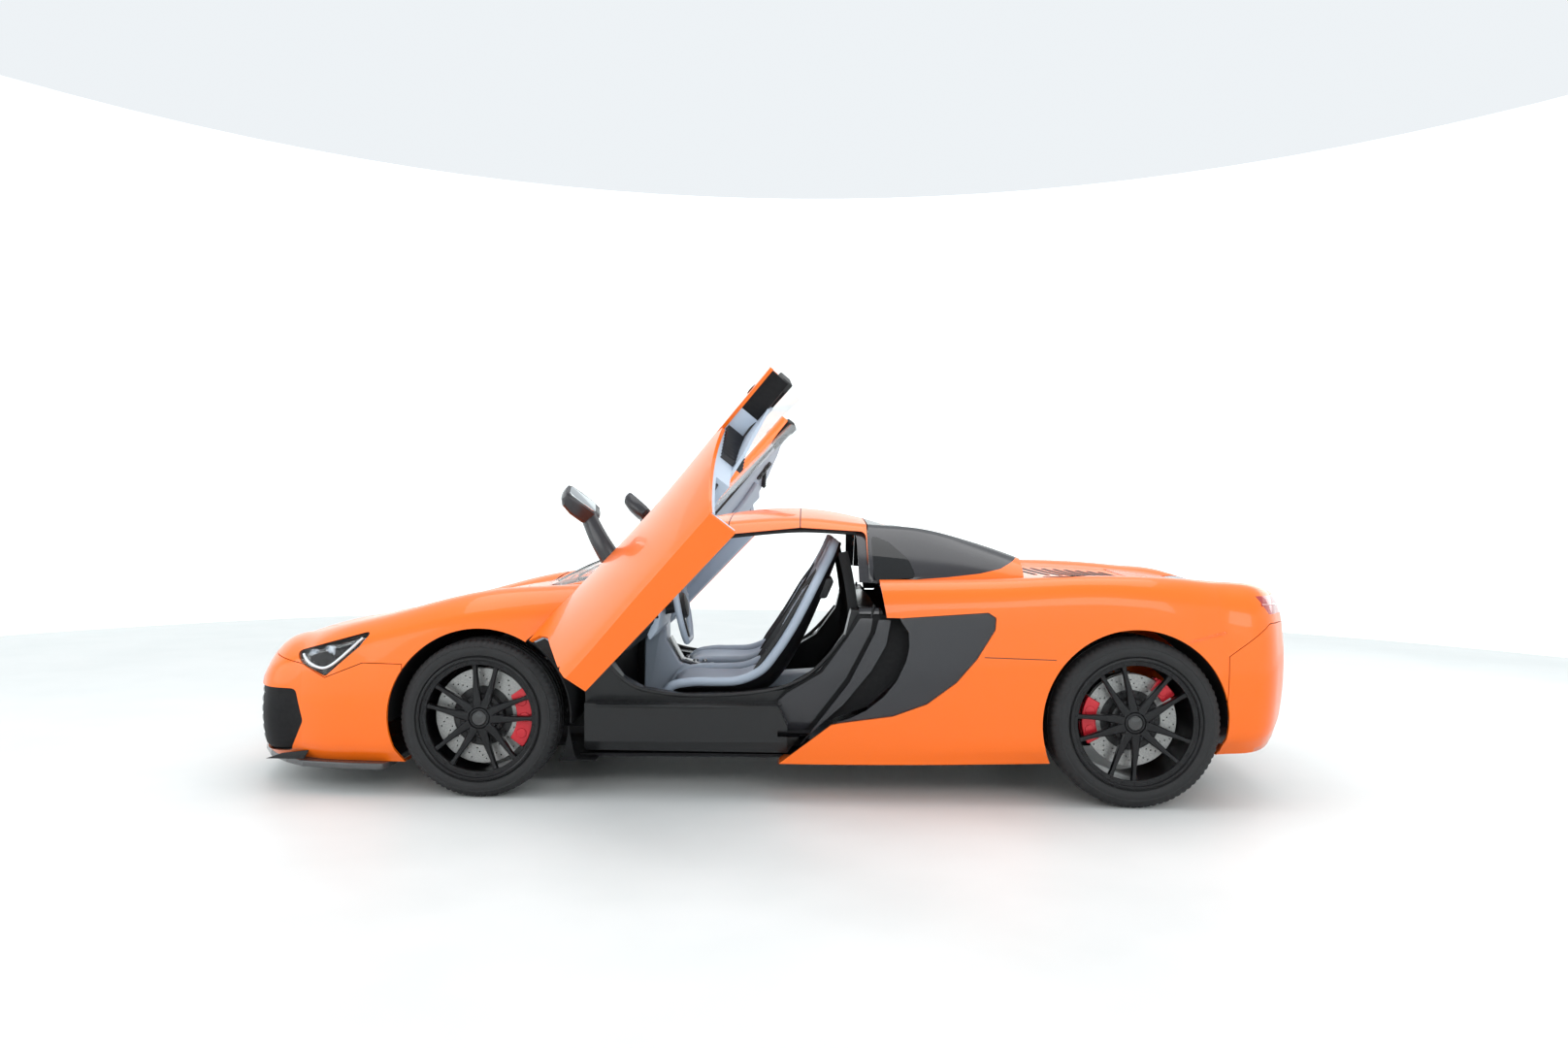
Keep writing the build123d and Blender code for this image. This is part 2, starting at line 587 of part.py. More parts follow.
def build_rear(skin, door_gap):
    rear = less(intersect_all(skin, box(20, 2300, -1000, 0, 0, 1000)), door_gap,
                plan_prism(CABIN_PLAN, 300, 1000), plan_prism(LID_PLAN, 600, 1000),
                box(20, DIFFUSER_X, -FLOOR_HALF, 0, 0, 400))
    blade = side_prism(INTAKE, 600, 1000)
    tail = side_prism(TAIL_SEAM, 0, 1000)
    wing_cut = plan_prism(pushed_out(AIRBRAKE_PLAN, SHUT_GAP), 750, 1000)
    deck = plan_prism(DECK_PLAN, 700, 1000)
    lamp = side_prism(TAIL_LAMP, 0, 1000)
    save(both_sides(main_solid(intersect_all(hull_skin(PANEL, 2 * PANEL), blade))), "side_intakes")
    over_door = box(0, 476, -1000, -600, 745, 1000)
    save(both_sides(main_solid(less(rear, blade, side_prism(SCOOP, 600, 1000), tail, wing_cut, deck, lamp,
                                    over_door))), "rear_quarters")
    save(both_sides(main_solid(less(intersect_all(rear, deck), wing_cut))), "rear_deck")
    save(both_sides(main_solid(less(intersect_all(rear, tail), box(1900, 2300, -560, 0, 360, 700), wing_cut,
                                    box(1800, 2300, -700, 0, 0, 300)))), "rear_bumper")
    lamp_cut = plan_prism(pushed_out(AIRBRAKE_PLAN, 2 * SHUT_GAP), 750, 1000)
    save(both_sides(main_solid(less(intersect_all(rear, lamp), lamp_cut))), "tail_lamps")
    with BuildPart() as airbrake:
        add(main_solid(intersect_all(hull_skin(0, 24, HULL[-7:-1]), plan_prism(AIRBRAKE_PLAN, 780, 1000))))
        add(hinge_barrel(AIRBRAKE_HINGE, 585, 50, 1))
    save(both_sides(airbrake.part), "airbrake")
    pipes = [(y, EXHAUST_Z) for y in (-150, 150)]
    back = HULL[-2].x - FIT
    flank = intersect_all(hull_skin(PANEL + FIT, PANEL + 4, HULL[-4:-1]), box(2120, back, -575, -300, 345, 715))
    with BuildPart() as grille:
        add(main_solid(flank))
        with BuildSketch(Plane.YZ.offset(back - 9)):
            Polygon((0, 395), (0, 690), (-345, 690), (-362, 560), (-340, 440), (-300, 395), align=None)
        extrude(amount=9)
        with BuildSketch(Plane.YZ.offset(back - 40)):
            with Locations(pipes):
                Circle(EXHAUST_RADIUS + FIT)
        extrude(amount=60, mode=Mode.SUBTRACT)
    save(both_sides(grille.part), "rear_grille")
    fins = [box(1800, 2200, y - 45, y + 45, 100, 250) for y in (-500, -375, -250, -125, 0, 125, 250, 375, 500)]
    save(less(box(DIFFUSER_X, 2140, -600, 600, 190, 290), *fins), "diffuser")
    with BuildPart() as tips:
        with BuildSketch(Plane.YZ.offset(2140)):
            with Locations(pipes):
                Circle(EXHAUST_RADIUS)
                Circle(EXHAUST_RADIUS - 5, mode=Mode.SUBTRACT)
        extrude(amount=110)
    save(tips.part, "exhaust_tips")


def build_floor(skin):
    with BuildPart() as tray:
        add(intersect_all(skin, box(-1473 + FIT, DIFFUSER_X - FIT, -FLOOR_HALF + FIT, 0, 0, 240)))
        for x, depth in JACK_PADS:
            with Locations((x, -JACK_PAD_Y, JACK_PAD_Z)):
                Cylinder(35, depth, align=(Align.CENTER, Align.CENTER, Align.MIN))
    save(both_sides(tray.part), "undertray")
    with BuildPart() as liners:
        for wheel, radius in ((FRONT_WHEEL, FRONT_ARCH_RADIUS), (REAR_WHEEL, REAR_ARCH_RADIUS)):
            with BuildSketch(Plane.XZ.offset(ARCH_INNER + 4)):
                with Locations((wheel.x, wheel.radius)):
                    Circle(radius + LINER - FIT)
                    Circle(radius - FIT, mode=Mode.SUBTRACT)
                    with Locations((0, -radius)):
                        Rectangle(3 * radius, 2 * radius - 40, mode=Mode.SUBTRACT)
            extrude(amount=HALF_WIDTH - ARCH_INNER - 10)
        add([hull_skin(-20, PANEL + FIT), door_prism(SHUT_GAP, 890, 1000)], mode=Mode.SUBTRACT)
    lined = liners.part.solids().sort_by(SortBy.VOLUME)[-2:]
    save(both_sides(lined), "wheel_liners")


def build_greenhouse():
    cabin = plan_prism([(-1000 + FIT, 0), (-990 + FIT, -380), (-890, -640 + FIT), (-720, -770 + FIT),
                        (434, -770 + FIT), (434, 0)], 780, 1300)
    lid = plan_prism([(434, 0), (434, -770 + SHUT_GAP), (1100 - SHUT_GAP, -640 + SHUT_GAP),
                      (1100 - SHUT_GAP, 0)], 780, 1300)
    roof, glazing = greenhouse_skin(0, ROOF_SKIN), greenhouse_skin(0, GLASS)
    shell = intersect_all(roof, cabin)
    glass_shell = intersect_all(glazing, cabin)
    window = side_prism(WINDOW, 500, 1000)
    quarter = side_prism(QUARTER_WINDOW, 560, 1000)
    screen_plan = [(-1100, -480), (-900, -640), (-668, -738), (-474, -640), (-306, -548), (-262, -300),
                   (-255, 0), (-1100, 0)]
    screen = plan_prism(screen_plan, 700, 1300)
    front = box(-1100, SEAM_FRONT, -1000, 0, 700, 1300)
    middle = box(SEAM_FRONT + FIT, ROOF_END, -1000, 0, 700, 1300)
    save(both_sides(main_solid(intersect_all(glass_shell, screen))), "windscreen")
    save(both_sides(main_solid(less(intersect_all(shell, front), screen, window, *hinge_cuts()))),
         "windscreen_frame")
    save(both_sides(less(intersect_all(shell, middle), window,
                         box(SEAM_REAR, SEAM_REAR + FIT, -1000, 1000, 700, 1300))), "roof_panels")
    rear = less(intersect_all(roof, lid), quarter)
    save(both_sides(main_solid(less(rear, box(500, 1200, -430, 430, 700, 1300)))), "buttresses")
    with BuildPart() as tonneau:
        add(main_solid(intersect_all(rear, box(500 + FIT, 1200, -430 + FIT, 0, 700, 1300))))
        add(hinge_barrel(TONNEAU_HINGE, 40, 80, -1))
    save(both_sides(tonneau.part), "tonneau")
    save(both_sides(main_solid(intersect_all(glazing, quarter, lid))), "quarter_windows")


def door_axis(shift=0):
    """Plane square to the left door's axis, at the hinge pin or further along it."""
    x, y, z = DOOR_AXIS_POINT
    ax, ay, az = DOOR_AXIS
    along = HINGE_ALONG + shift
    return Plane(origin=(x + along * ax, y + along * ay, z + along * az), z_dir=DOOR_AXIS, x_dir=(0, -1, 0.9))


def hinge_cuts():
    """Room in the pillar for the hinge arm to swing, and the bore for its pin."""
    with BuildPart() as slot:
        with BuildSketch(door_axis(-16)):
            Circle(75)
        extrude(amount=32)
    with BuildPart() as bore:
        with BuildSketch(door_axis(-34)):
            Circle(PIN_RADIUS + PIN_PLAY)
        extrude(amount=68)
    return slot.part, bore.part


def hinge_arm():
    """The door's hinge: a pin on the slanted axis and an arm down into the door's top."""
    pin_plane = door_axis(-30)
    with BuildPart() as arm:
        with BuildSketch(pin_plane):
            Circle(PIN_RADIUS)
        extrude(amount=60)
        with BuildSketch(door_axis(-10)):
            Circle(15)
        extrude(amount=20)
        start = Vector(*door_axis().origin)
        add(tube(tuple(start), (start.X + 70, start.Y - 42, start.Z - 80), 9))
    return arm.part


def hinge_barrel(place, y_from, length, lean):
    """Short hinge barrel across the car, left of the centre line, at a place (x, z).

    It leans into the lid that it is part of, ahead (-1) or behind (+1), and clears the far edge.
    """
    with BuildPart() as barrel:
        with BuildSketch(Plane.XZ.offset(y_from)):
            with Locations((place[0] + lean * PIN_PLAY, place[1])):
                Circle(SHUT_GAP / 2)
        extrude(amount=length)
    return barrel.part


def build_doors():
    middle = [row for row in HULL if FRONT_AXLE_X <= row.x <= 900]
    outline = door_prism(0, TUB_HALF + SHUT_GAP, 1000)
    low = box(-1100, 800, -1000, 0, 0, SILL_TOP + SHUT_GAP)
    sill_room = box(-1100, 800, -FLOOR_HALF - SHUT_GAP, 0, 0, SILL_TOP)
    with BuildPart() as leaf:
        add(less(intersect_all(hull_skin(0, DOOR_DEPTH, middle), outline), low))
        add(less(intersect_all(hull_skin(0, SILL_SKIN, middle), outline, low), sill_room))
    door = less(leaf.part, wheel_drum(40, 905))
    trim = intersect_all(hull_skin(DOOR_DEPTH + FIT, DOOR_DEPTH + 12, middle),
                         side_prism([(-600, 400), (-620, 640), (-560, 800), (380, 830), (340, 640), (200, 400)],
                                    700, 1000))
    pane = intersect_all(greenhouse_skin(0, GLASS),
                         side_prism([(-548, 862), (-298, 1056), (-171, 1077), (142, 1110), (418, 1096),
                                     (430, 886), (300, 882), (-300, 872)], 500, 1000))
    pane = main_solid(less(pane, door)).moved(Location((0, 0, PIN_PLAY)))
    with BuildPart() as mirror_body:
        with BuildSketch(Plane.XZ.offset(985)):
            with Locations((-500, 985)):
                RectangleRounded(70, 120, 25)
        extrude(amount=160)
        add(tube((-545, -840, 800), (-505, -1000, 960), 22))
        add(hull_skin(-PIN_PLAY, DOOR_DEPTH, middle), mode=Mode.SUBTRACT)
    with BuildPart() as hung_door:
        add(main_solid(door))
        add(hinge_arm())
    for side, hand in ((-1, "left"), (1, "right")):
        for piece, name in ((hung_door.part, "door"), (main_solid(trim), "door_trim"),
                            (pane, "door_glass"), (main_solid(mirror_body.part), "mirror")):
            if side > 0:
                piece = mirror(piece, about=Plane.XZ)
            save(swung(piece, side), f"{name}_{hand}")


# ---------------------------------------------------------------- structure and cabin
def sill_beam():
    """The left sill of the tub, its outer side just within the door's skin."""
    with BuildPart() as beam:
        for row in HULL[5:10]:
            floor, sill, side = map(mirrored, hull_outline(row, SILL_SKIN + SHUT_GAP)[:3])
            rise = (SILL_TOP - sill[1]) / (side[1] - sill[1])
            with BuildSketch(Plane.YZ.offset(row.x)):
                with BuildLine():
                    Polyline((-760, floor[1]), floor, sill, (sill[0] + rise * (side[0] - sill[0]), SILL_TOP),
                             (-760, SILL_TOP), close=True)
                make_face()
        loft(ruled=True)
    ends = side_prism([(-738, TUB_FLOOR), (-738, SILL_TOP), (60, SILL_TOP), (100, 300), (100, TUB_FLOOR)],
                      700, 1000)
    return intersect_all(beam.part, ends)


def build_tub():
    with BuildPart() as tub:
        add(both_sides(side_prism(TUB_SIDE, 640, TUB_HALF)))
        add(both_sides(sill_beam()))
        add(both_sides(box(-1500, -735, -RAIL_OUTER, -RAIL_INNER - FIT, 200, 500)))
        add(box(-745, 440, -642, 642, TUB_FLOOR, 205))
        add(box(400, 440, -642, 642, 180, 775))
        add(box(-760, -735, -642, 642, 180, 600))
    save(tub.part, "tub")
    save(box(440 + FIT, 1400, -ENGINE_HALF, ENGINE_HALF, 194, 640), "engine")
    save(less(box(-1800, -1240, -330, 330, 200, 590), box(-1790, -1250, -320, 320, 210, 700)), "luggage_tray")


def build_cabin():
    seat_side = [(-420, 330), (-440, 400), (-100, 360), (60, 470), (200, 780), (290, 1060), (350, 1050),
                 (330, 780), (200, 430), (60, 300), (-400, 290)]
    pad_side = [(-430, 402), (-380, 440), (-120, 410), (40, 520), (170, 800), (262, 1062), (288, 1062),
                (199, 781), (59, 471), (-101, 362)]
    with BuildPart() as shells:
        add(both_sides(side_prism(seat_side, 130, 600)))
        add(both_sides(box(-400, 60, -560, -170, 205 + FIT, 300)))
    save(shells.part, "seat_shells")
    save(both_sides(side_prism([(x, z - 1.2) for x, z in pad_side], 150, 580)), "seat_pads")
    dash = [(-735 + FIT, 560), (-735 + FIT, 800), (-690, 830), (-560, 830), (-480, 760), (-500, 640),
            (-600, 560)]
    save(both_sides(side_prism(dash, 0, 630)), "dashboard")
    console = [(-600, 558), (-560, 558), (-440, 440), (-260, 400), (300, 400), (300, 205.3), (-600, 205.3)]
    save(both_sides(side_prism(console, 0, 110)), "console")
    centre = Vector(-391, -380, 752)
    plane = Plane(origin=centre, x_dir=(0, 1, 0), z_dir=(0.98, 0, 0.198))
    with BuildPart() as wheel:
        with BuildSketch(Plane(origin=centre, x_dir=plane.x_dir, z_dir=plane.y_dir)):
            with Locations((180, 0)):
                Circle(15)
        revolve(axis=Axis(centre, plane.z_dir))
        with BuildSketch(plane.offset(-14)):
            Circle(55)
            Rectangle(350, 34)
            with Locations((0, -90)):
                Rectangle(40, 170)
        extrude(amount=20)
        with BuildSketch(plane.offset(-85.2)):
            Circle(26)
        extrude(amount=75.2)
    save(wheel.part, "steering_wheel")


def main():
    """Build and write every piece."""
    os.makedirs("parts", exist_ok=True)
    with BuildPart() as shell:
        add(hull_skin(0, PANEL, HULL[1:-1]))
        add(hull_end(HULL[:2]))
        add(hull_end(HULL[-2:]))
    skin = less(shell.part, arch_cutters())
    door_gap = door_prism(SHUT_GAP, 700, 1000)
    build_wheels()
    build_running_gear()
    build_front(skin, door_gap)
    build_rear(skin, door_gap)
    build_floor(skin)
    build_greenhouse()
    build_doors()
    build_tub()
    build_cabin()


if __name__ == "__main__":
    main()
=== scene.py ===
"""The looks of a mid-engined sports car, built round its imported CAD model.

Every length in the tables is in millimetres, as in the part's own source; meshes are made in metres.
"""
import json
import logging
import math
from dataclasses import dataclass
from enum import Enum

import bmesh
import bpy
import numpy as np
from mathutils import Matrix, Vector
from mathutils.kdtree import KDTree

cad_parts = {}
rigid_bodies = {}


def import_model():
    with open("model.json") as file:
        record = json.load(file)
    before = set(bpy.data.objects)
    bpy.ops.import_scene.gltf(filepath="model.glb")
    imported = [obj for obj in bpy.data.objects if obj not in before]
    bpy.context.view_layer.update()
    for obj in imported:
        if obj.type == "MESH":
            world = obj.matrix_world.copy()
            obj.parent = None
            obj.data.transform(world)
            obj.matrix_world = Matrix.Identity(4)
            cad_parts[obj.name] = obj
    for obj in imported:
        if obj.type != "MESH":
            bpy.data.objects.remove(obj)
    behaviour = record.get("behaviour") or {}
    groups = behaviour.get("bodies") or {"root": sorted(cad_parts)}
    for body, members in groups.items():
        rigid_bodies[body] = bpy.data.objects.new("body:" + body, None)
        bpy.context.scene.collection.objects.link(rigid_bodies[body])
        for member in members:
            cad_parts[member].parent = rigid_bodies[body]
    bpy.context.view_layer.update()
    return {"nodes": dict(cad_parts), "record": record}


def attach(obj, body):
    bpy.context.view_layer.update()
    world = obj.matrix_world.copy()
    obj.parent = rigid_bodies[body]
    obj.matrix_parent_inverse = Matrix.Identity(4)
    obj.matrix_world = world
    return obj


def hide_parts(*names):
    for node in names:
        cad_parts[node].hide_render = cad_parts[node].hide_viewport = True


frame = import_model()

MM = 0.001
LOG = logging.getLogger("sports_car")
Outline = list[tuple[float, float]]


class Side(Enum):
    """The two sides of the car."""

    LEFT = -1
    RIGHT = 1

    @property
    def word(self) -> str:
        """The side's name, as the CAD nodes and bodies have it."""
        return self.name.lower()


class Axle(Enum):
    """The two axles."""

    FRONT = "front"
    REAR = "rear"


# ---------------------------------------------------------------- finishes
@dataclass(frozen=True)
class Finish:
    """A procedural finish: a base colour with fine variation, gloss, clear coat and surface grain."""

    name: str
    slot: str
    colour: tuple[float, float, float]
    shade: tuple[float, float, float]
    roughness: float = 0.4
    roughness_spread: float = 0.08
    metallic: float = 0.0
    coat: float = 0.0
    scale: float = 30.0
    grain: float = 0.0
    grain_scale: float = 400.0
    transmission: float = 0.0
    alpha: float = 1.0
    sheen: float = 0.0
    ior: float = 1.5

    def material(self) -> bpy.types.Material:
        """Make the material once and give it back on later calls.

        Returns:
            The Blender material of this finish.
        """
        found = bpy.data.materials.get(self.name)
        if found:
            return found
        material = bpy.data.materials.new(self.name)
        material.use_nodes = True
        tree = material.node_tree
        shader = tree.nodes["Principled BSDF"]
        shader.inputs["Metallic"].default_value = self.metallic
        shader.inputs["Coat Weight"].default_value = self.coat
        shader.inputs["Coat Roughness"].default_value = 0.02
        shader.inputs["IOR"].default_value = self.ior
        shader.inputs["Transmission Weight"].default_value = self.transmission
        shader.inputs["Alpha"].default_value = self.alpha
        shader.inputs["Sheen Weight"].default_value = self.sheen
        place = tree.nodes.new("ShaderNodeTexCoord")
        self.dress(tree, shader, place.outputs["Object"])
        return material

    def dress(self, tree: bpy.types.NodeTree, shader: bpy.types.Node, place: bpy.types.NodeSocket) -> None:
        """Link colour variation, roughness variation and grain into the shader.

        Args:
            tree: The material's node tree.
            shader: Its principled shader.
            place: The coordinates that the textures use.
        """
        noise = tree.nodes.new("ShaderNodeTexNoise")
        noise.inputs["Scale"].default_value = self.scale
        noise.inputs["Detail"].default_value = 3.0
        ramp = tree.nodes.new("ShaderNodeValToRGB")
        ramp.color_ramp.elements[0].position = 0.35
        ramp.color_ramp.elements[1].position = 0.65
        ramp.color_ramp.elements[0].color = (*self.shade, 1.0)
        ramp.color_ramp.elements[1].color = (*self.colour, 1.0)
        spread = tree.nodes.new("ShaderNodeMapRange")
        spread.inputs["To Min"].default_value = max(0.02, self.roughness - self.roughness_spread)
        spread.inputs["To Max"].default_value = self.roughness + self.roughness_spread
        tree.links.new(place, noise.inputs["Vector"])
        tree.links.new(noise.outputs["Fac"], ramp.inputs["Fac"])
        tree.links.new(noise.outputs["Fac"], spread.inputs["Value"])
        tree.links.new(ramp.outputs["Color"], shader.inputs["Base Color"])
        tree.links.new(spread.outputs["Result"], shader.inputs["Roughness"])
        if self.grain:
            height = self.height(tree, place)
            bump = tree.nodes.new("ShaderNodeBump")
            bump.inputs["Strength"].default_value = self.grain
            bump.inputs["Distance"].default_value = 0.0006
            tree.links.new(height, bump.inputs["Height"])
            tree.links.new(bump.outputs["Normal"], shader.inputs["Normal"])

    def height(self, tree: bpy.types.NodeTree, place: bpy.types.NodeSocket) -> bpy.types.NodeSocket:
        """The surface grain's height, here a fine noise.

        Args:
            tree: The material's node tree.
            place: The coordinates that the texture uses.

        Returns:
            The socket that carries the height.
        """
        grain = tree.nodes.new("ShaderNodeTexNoise")
        grain.inputs["Scale"].default_value = self.grain_scale
        tree.links.new(place, grain.inputs["Vector"])
        return grain.outputs["Fac"]


@dataclass(frozen=True)
class LeatherFinish(Finish):
    """Leather, whose grain is small pebbles between creases."""

    def height(self, tree: bpy.types.NodeTree, place: bpy.types.NodeSocket) -> bpy.types.NodeSocket:
        """Height of leather pebbles; see Finish.height for Args and Returns."""
        pebbles = tree.nodes.new("ShaderNodeTexVoronoi")
        pebbles.inputs["Scale"].default_value = self.grain_scale
        tree.links.new(place, pebbles.inputs["Vector"])
        return pebbles.outputs["Distance"]


@dataclass(frozen=True)
class WovenFinish(Finish):
    """Carbon fibre or cloth, whose threads cross over and under."""

    def dress(self, tree: bpy.types.NodeTree, shader: bpy.types.Node, place: bpy.types.NodeSocket) -> None:
        """Twill colour and roughness; see Finish.dress for Args."""
        waves = []
        for turn in (0.785, -0.785):
            mapping = tree.nodes.new("ShaderNodeMapping")
            mapping.inputs["Rotation"].default_value = (turn, turn, 0.0)
            wave = tree.nodes.new("ShaderNodeTexWave")
            wave.inputs["Scale"].default_value = self.grain_scale
            tree.links.new(place, mapping.inputs["Vector"])
            tree.links.new(mapping.outputs["Vector"], wave.inputs["Vector"])
            waves.append(wave)
        over = tree.nodes.new("ShaderNodeMath")
        over.operation = "MULTIPLY"
        ramp = tree.nodes.new("ShaderNodeValToRGB")
        ramp.color_ramp.elements[0].color = (*self.shade, 1.0)
        ramp.color_ramp.elements[1].color = (*self.colour, 1.0)
        spread = tree.nodes.new("ShaderNodeMapRange")
        spread.inputs["To Min"].default_value = max(0.02, self.roughness - self.roughness_spread)
        spread.inputs["To Max"].default_value = self.roughness + self.roughness_spread
        tree.links.new(waves[0].outputs["Fac"], over.inputs[0])
        tree.links.new(waves[1].outputs["Fac"], over.inputs[1])
        tree.links.new(over.outputs["Value"], ramp.inputs["Fac"])
        tree.links.new(over.outputs["Value"], spread.inputs["Value"])
        tree.links.new(ramp.outputs["Color"], shader.inputs["Base Color"])
        tree.links.new(spread.outputs["Result"], shader.inputs["Roughness"])


ORANGE = Finish("orange_coat", "orange_paint", (0.90, 0.150, 0.003), (0.86, 0.139, 0.003), 0.34, 0.04,
                coat=0.45, scale=900.0, ior=1.35)
GLOSS_BLACK = Finish("gloss_black", "gloss_black", (0.007, 0.008, 0.008), (0.005, 0.005, 0.006), 0.14, 0.04,
                     coat=0.12, scale=12.0, ior=1.38)
SILVER = Finish("silver_panel", "silver_grey", (0.50, 0.52, 0.53), (0.42, 0.44, 0.45), 0.22, 0.05,
                metallic=0.5, coat=0.8, scale=500.0)
BLACK_PLASTIC = Finish("moulded_black", "black_plastic", (0.009, 0.009, 0.010), (0.005, 0.005, 0.006), 0.62,
                       0.08, scale=60.0, grain=0.5, grain_scale=900.0, ior=1.3)
CARBON = WovenFinish("satin_carbon", "carbon", (0.022, 0.023, 0.024), (0.009, 0.009, 0.010), 0.34, 0.08,
                     coat=0.15, grain_scale=120.0, ior=1.35)
LAMP_CLEAR = Finish("lamp_cover", "lamp_clear", (0.92, 0.95, 0.97), (0.88, 0.92, 0.95), 0.04, 0.02,
                    transmission=1.0, alpha=0.35, scale=8.0)
LAMP_RED = Finish("lamp_red_lens", "lamp_red", (0.42, 0.008, 0.008), (0.30, 0.005, 0.005), 0.10, 0.03,
                  coat=0.8, scale=80.0)
GLASS = Finish("tinted_glass", "glass", (0.55, 0.62, 0.64), (0.50, 0.58, 0.60), 0.03, 0.01,
               transmission=1.0, alpha=0.28, scale=4.0)
DARK_GLASS = Finish("dark_glass", "glass", (0.006, 0.007, 0.008), (0.004, 0.005, 0.006), 0.03, 0.01,
                    coat=0.1, alpha=0.96, scale=4.0, ior=1.4)
RUBBER = Finish("tyre_rubber", "tyre", (0.012, 0.012, 0.013), (0.007, 0.007, 0.008), 0.72, 0.08,
                scale=120.0, grain=0.4, grain_scale=1400.0)
BLACK_ALLOY = Finish("black_alloy", "black_wheel", (0.006, 0.006, 0.007), (0.004, 0.004, 0.005), 0.30, 0.05,
                     metallic=0.2, coat=0.1, scale=300.0, ior=1.38)
DISC = Finish("brake_disc", "disc_metal", (0.34, 0.34, 0.33), (0.24, 0.24, 0.24), 0.34, 0.08, metallic=0.85,
              scale=200.0, grain=0.3, grain_scale=700.0)
CALIPER = Finish("caliper_red", "caliper_red", (0.34, 0.006, 0.012), (0.26, 0.005, 0.009), 0.28, 0.04,
                 coat=0.3, scale=160.0)
ALLOY = Finish("cast_alloy", "alloy", (0.42, 0.42, 0.42), (0.30, 0.30, 0.30), 0.44, 0.08, metallic=0.9,
               scale=90.0, grain=0.4, grain_scale=500.0)
CHROME = Finish("bright_steel", "chrome", (0.75, 0.75, 0.75), (0.62, 0.62, 0.62), 0.12, 0.03, metallic=1.0,
                scale=40.0)
CAP = Finish("cap_black", "black_wheel", (0.020, 0.020, 0.021), (0.015, 0.015, 0.016), 0.16, 0.04, coat=0.6,
             scale=220.0)
HAT = Finish("hat_black", "disc_metal", (0.030, 0.030, 0.031), (0.020, 0.020, 0.021), 0.38, 0.06,
             metallic=0.4, scale=220.0)
LEATHER = LeatherFinish("blue_grey_leather", "blue_grey_leather", (0.40, 0.47, 0.58), (0.35, 0.42, 0.53),
                        0.52, 0.06, scale=40.0, grain=0.35, grain_scale=650.0, sheen=0.15)
SHELL = Finish("seat_shell", "black_shell", (0.016, 0.016, 0.018), (0.010, 0.010, 0.012), 0.45, 0.06,
               scale=70.0, grain=0.3, grain_scale=900.0)
BLACK_LEATHER = LeatherFinish("black_leather", "black_shell", (0.020, 0.021, 0.023), (0.013, 0.013, 0.015),
                              0.52, 0.06, scale=50.0, grain=0.4, grain_scale=650.0)
SEAM = Finish("seam_thread", "blue_grey_leather", (0.30, 0.36, 0.45), (0.24, 0.29, 0.37), 0.7, 0.08,
              scale=300.0)
SEAL = Finish("door_rubber", "black_plastic", (0.014, 0.014, 0.015), (0.009, 0.009, 0.010), 0.55, 0.08,
              scale=150.0, grain=0.3, grain_scale=1200.0)
SCREEN = Finish("instrument_glass", "gloss_black", (0.010, 0.012, 0.016), (0.007, 0.008, 0.011), 0.06, 0.02,
                coat=0.8, scale=20.0)
ALLOY_TRIM = Finish("satin_alloy", "alloy", (0.40, 0.41, 0.42), (0.32, 0.33, 0.34), 0.30, 0.06,
                    metallic=0.9, scale=240.0)
CARPET = WovenFinish("floor_carpet", "black_plastic", (0.030, 0.031, 0.033), (0.012, 0.012, 0.013), 0.9,
                     0.05, grain_scale=500.0)
WEBBING = WovenFinish("belt_webbing", "black_plastic", (0.022, 0.022, 0.024), (0.012, 0.012, 0.013), 0.8,
                      0.06, grain_scale=420.0)
LAMP_WHITE = Finish("lamp_strip", "lamp_clear", (0.90, 0.93, 0.96), (0.80, 0.84, 0.88), 0.20, 0.04,
                    coat=0.6, scale=60.0)
LAMP_LENS = Finish("lamp_lens", "lamp_clear", (0.42, 0.46, 0.50), (0.26, 0.29, 0.33), 0.08, 0.03,
                   metallic=0.6, coat=0.8, scale=60.0)
MIRROR = Finish("mirror_glass", "gloss_black", (0.55, 0.58, 0.60), (0.50, 0.53, 0.55), 0.03, 0.01,
                metallic=1.0, scale=6.0)
SPLITTER = WovenFinish("splitter_sheen", "gloss_black", (0.085, 0.088, 0.092), (0.045, 0.047, 0.050), 0.30,
                       0.06, coat=0.4, grain_scale=90.0)
FLOOR_PAINT = Finish("floor_paint", "", (0.70, 0.71, 0.705), (0.66, 0.675, 0.67), 0.5, 0.06, scale=1.5)
WALL_PAINT = Finish("wall_paint", "", (0.86, 0.88, 0.88), (0.85, 0.87, 0.87), 0.8, 0.02, scale=0.5)
CAD_FINISHES = {
    "orange_paint": ORANGE, "gloss_black": GLOSS_BLACK, "silver_grey": SILVER,
    "black_plastic": BLACK_PLASTIC, "carbon": CARBON, "lamp_clear": LAMP_CLEAR, "lamp_red": LAMP_RED,
    "glass": GLASS, "tyre": RUBBER, "black_wheel": BLACK_ALLOY, "disc_metal": DISC, "caliper_red": CALIPER,
    "alloy": ALLOY, "chrome": CHROME, "blue_grey_leather": LEATHER, "black_shell": SHELL,
}


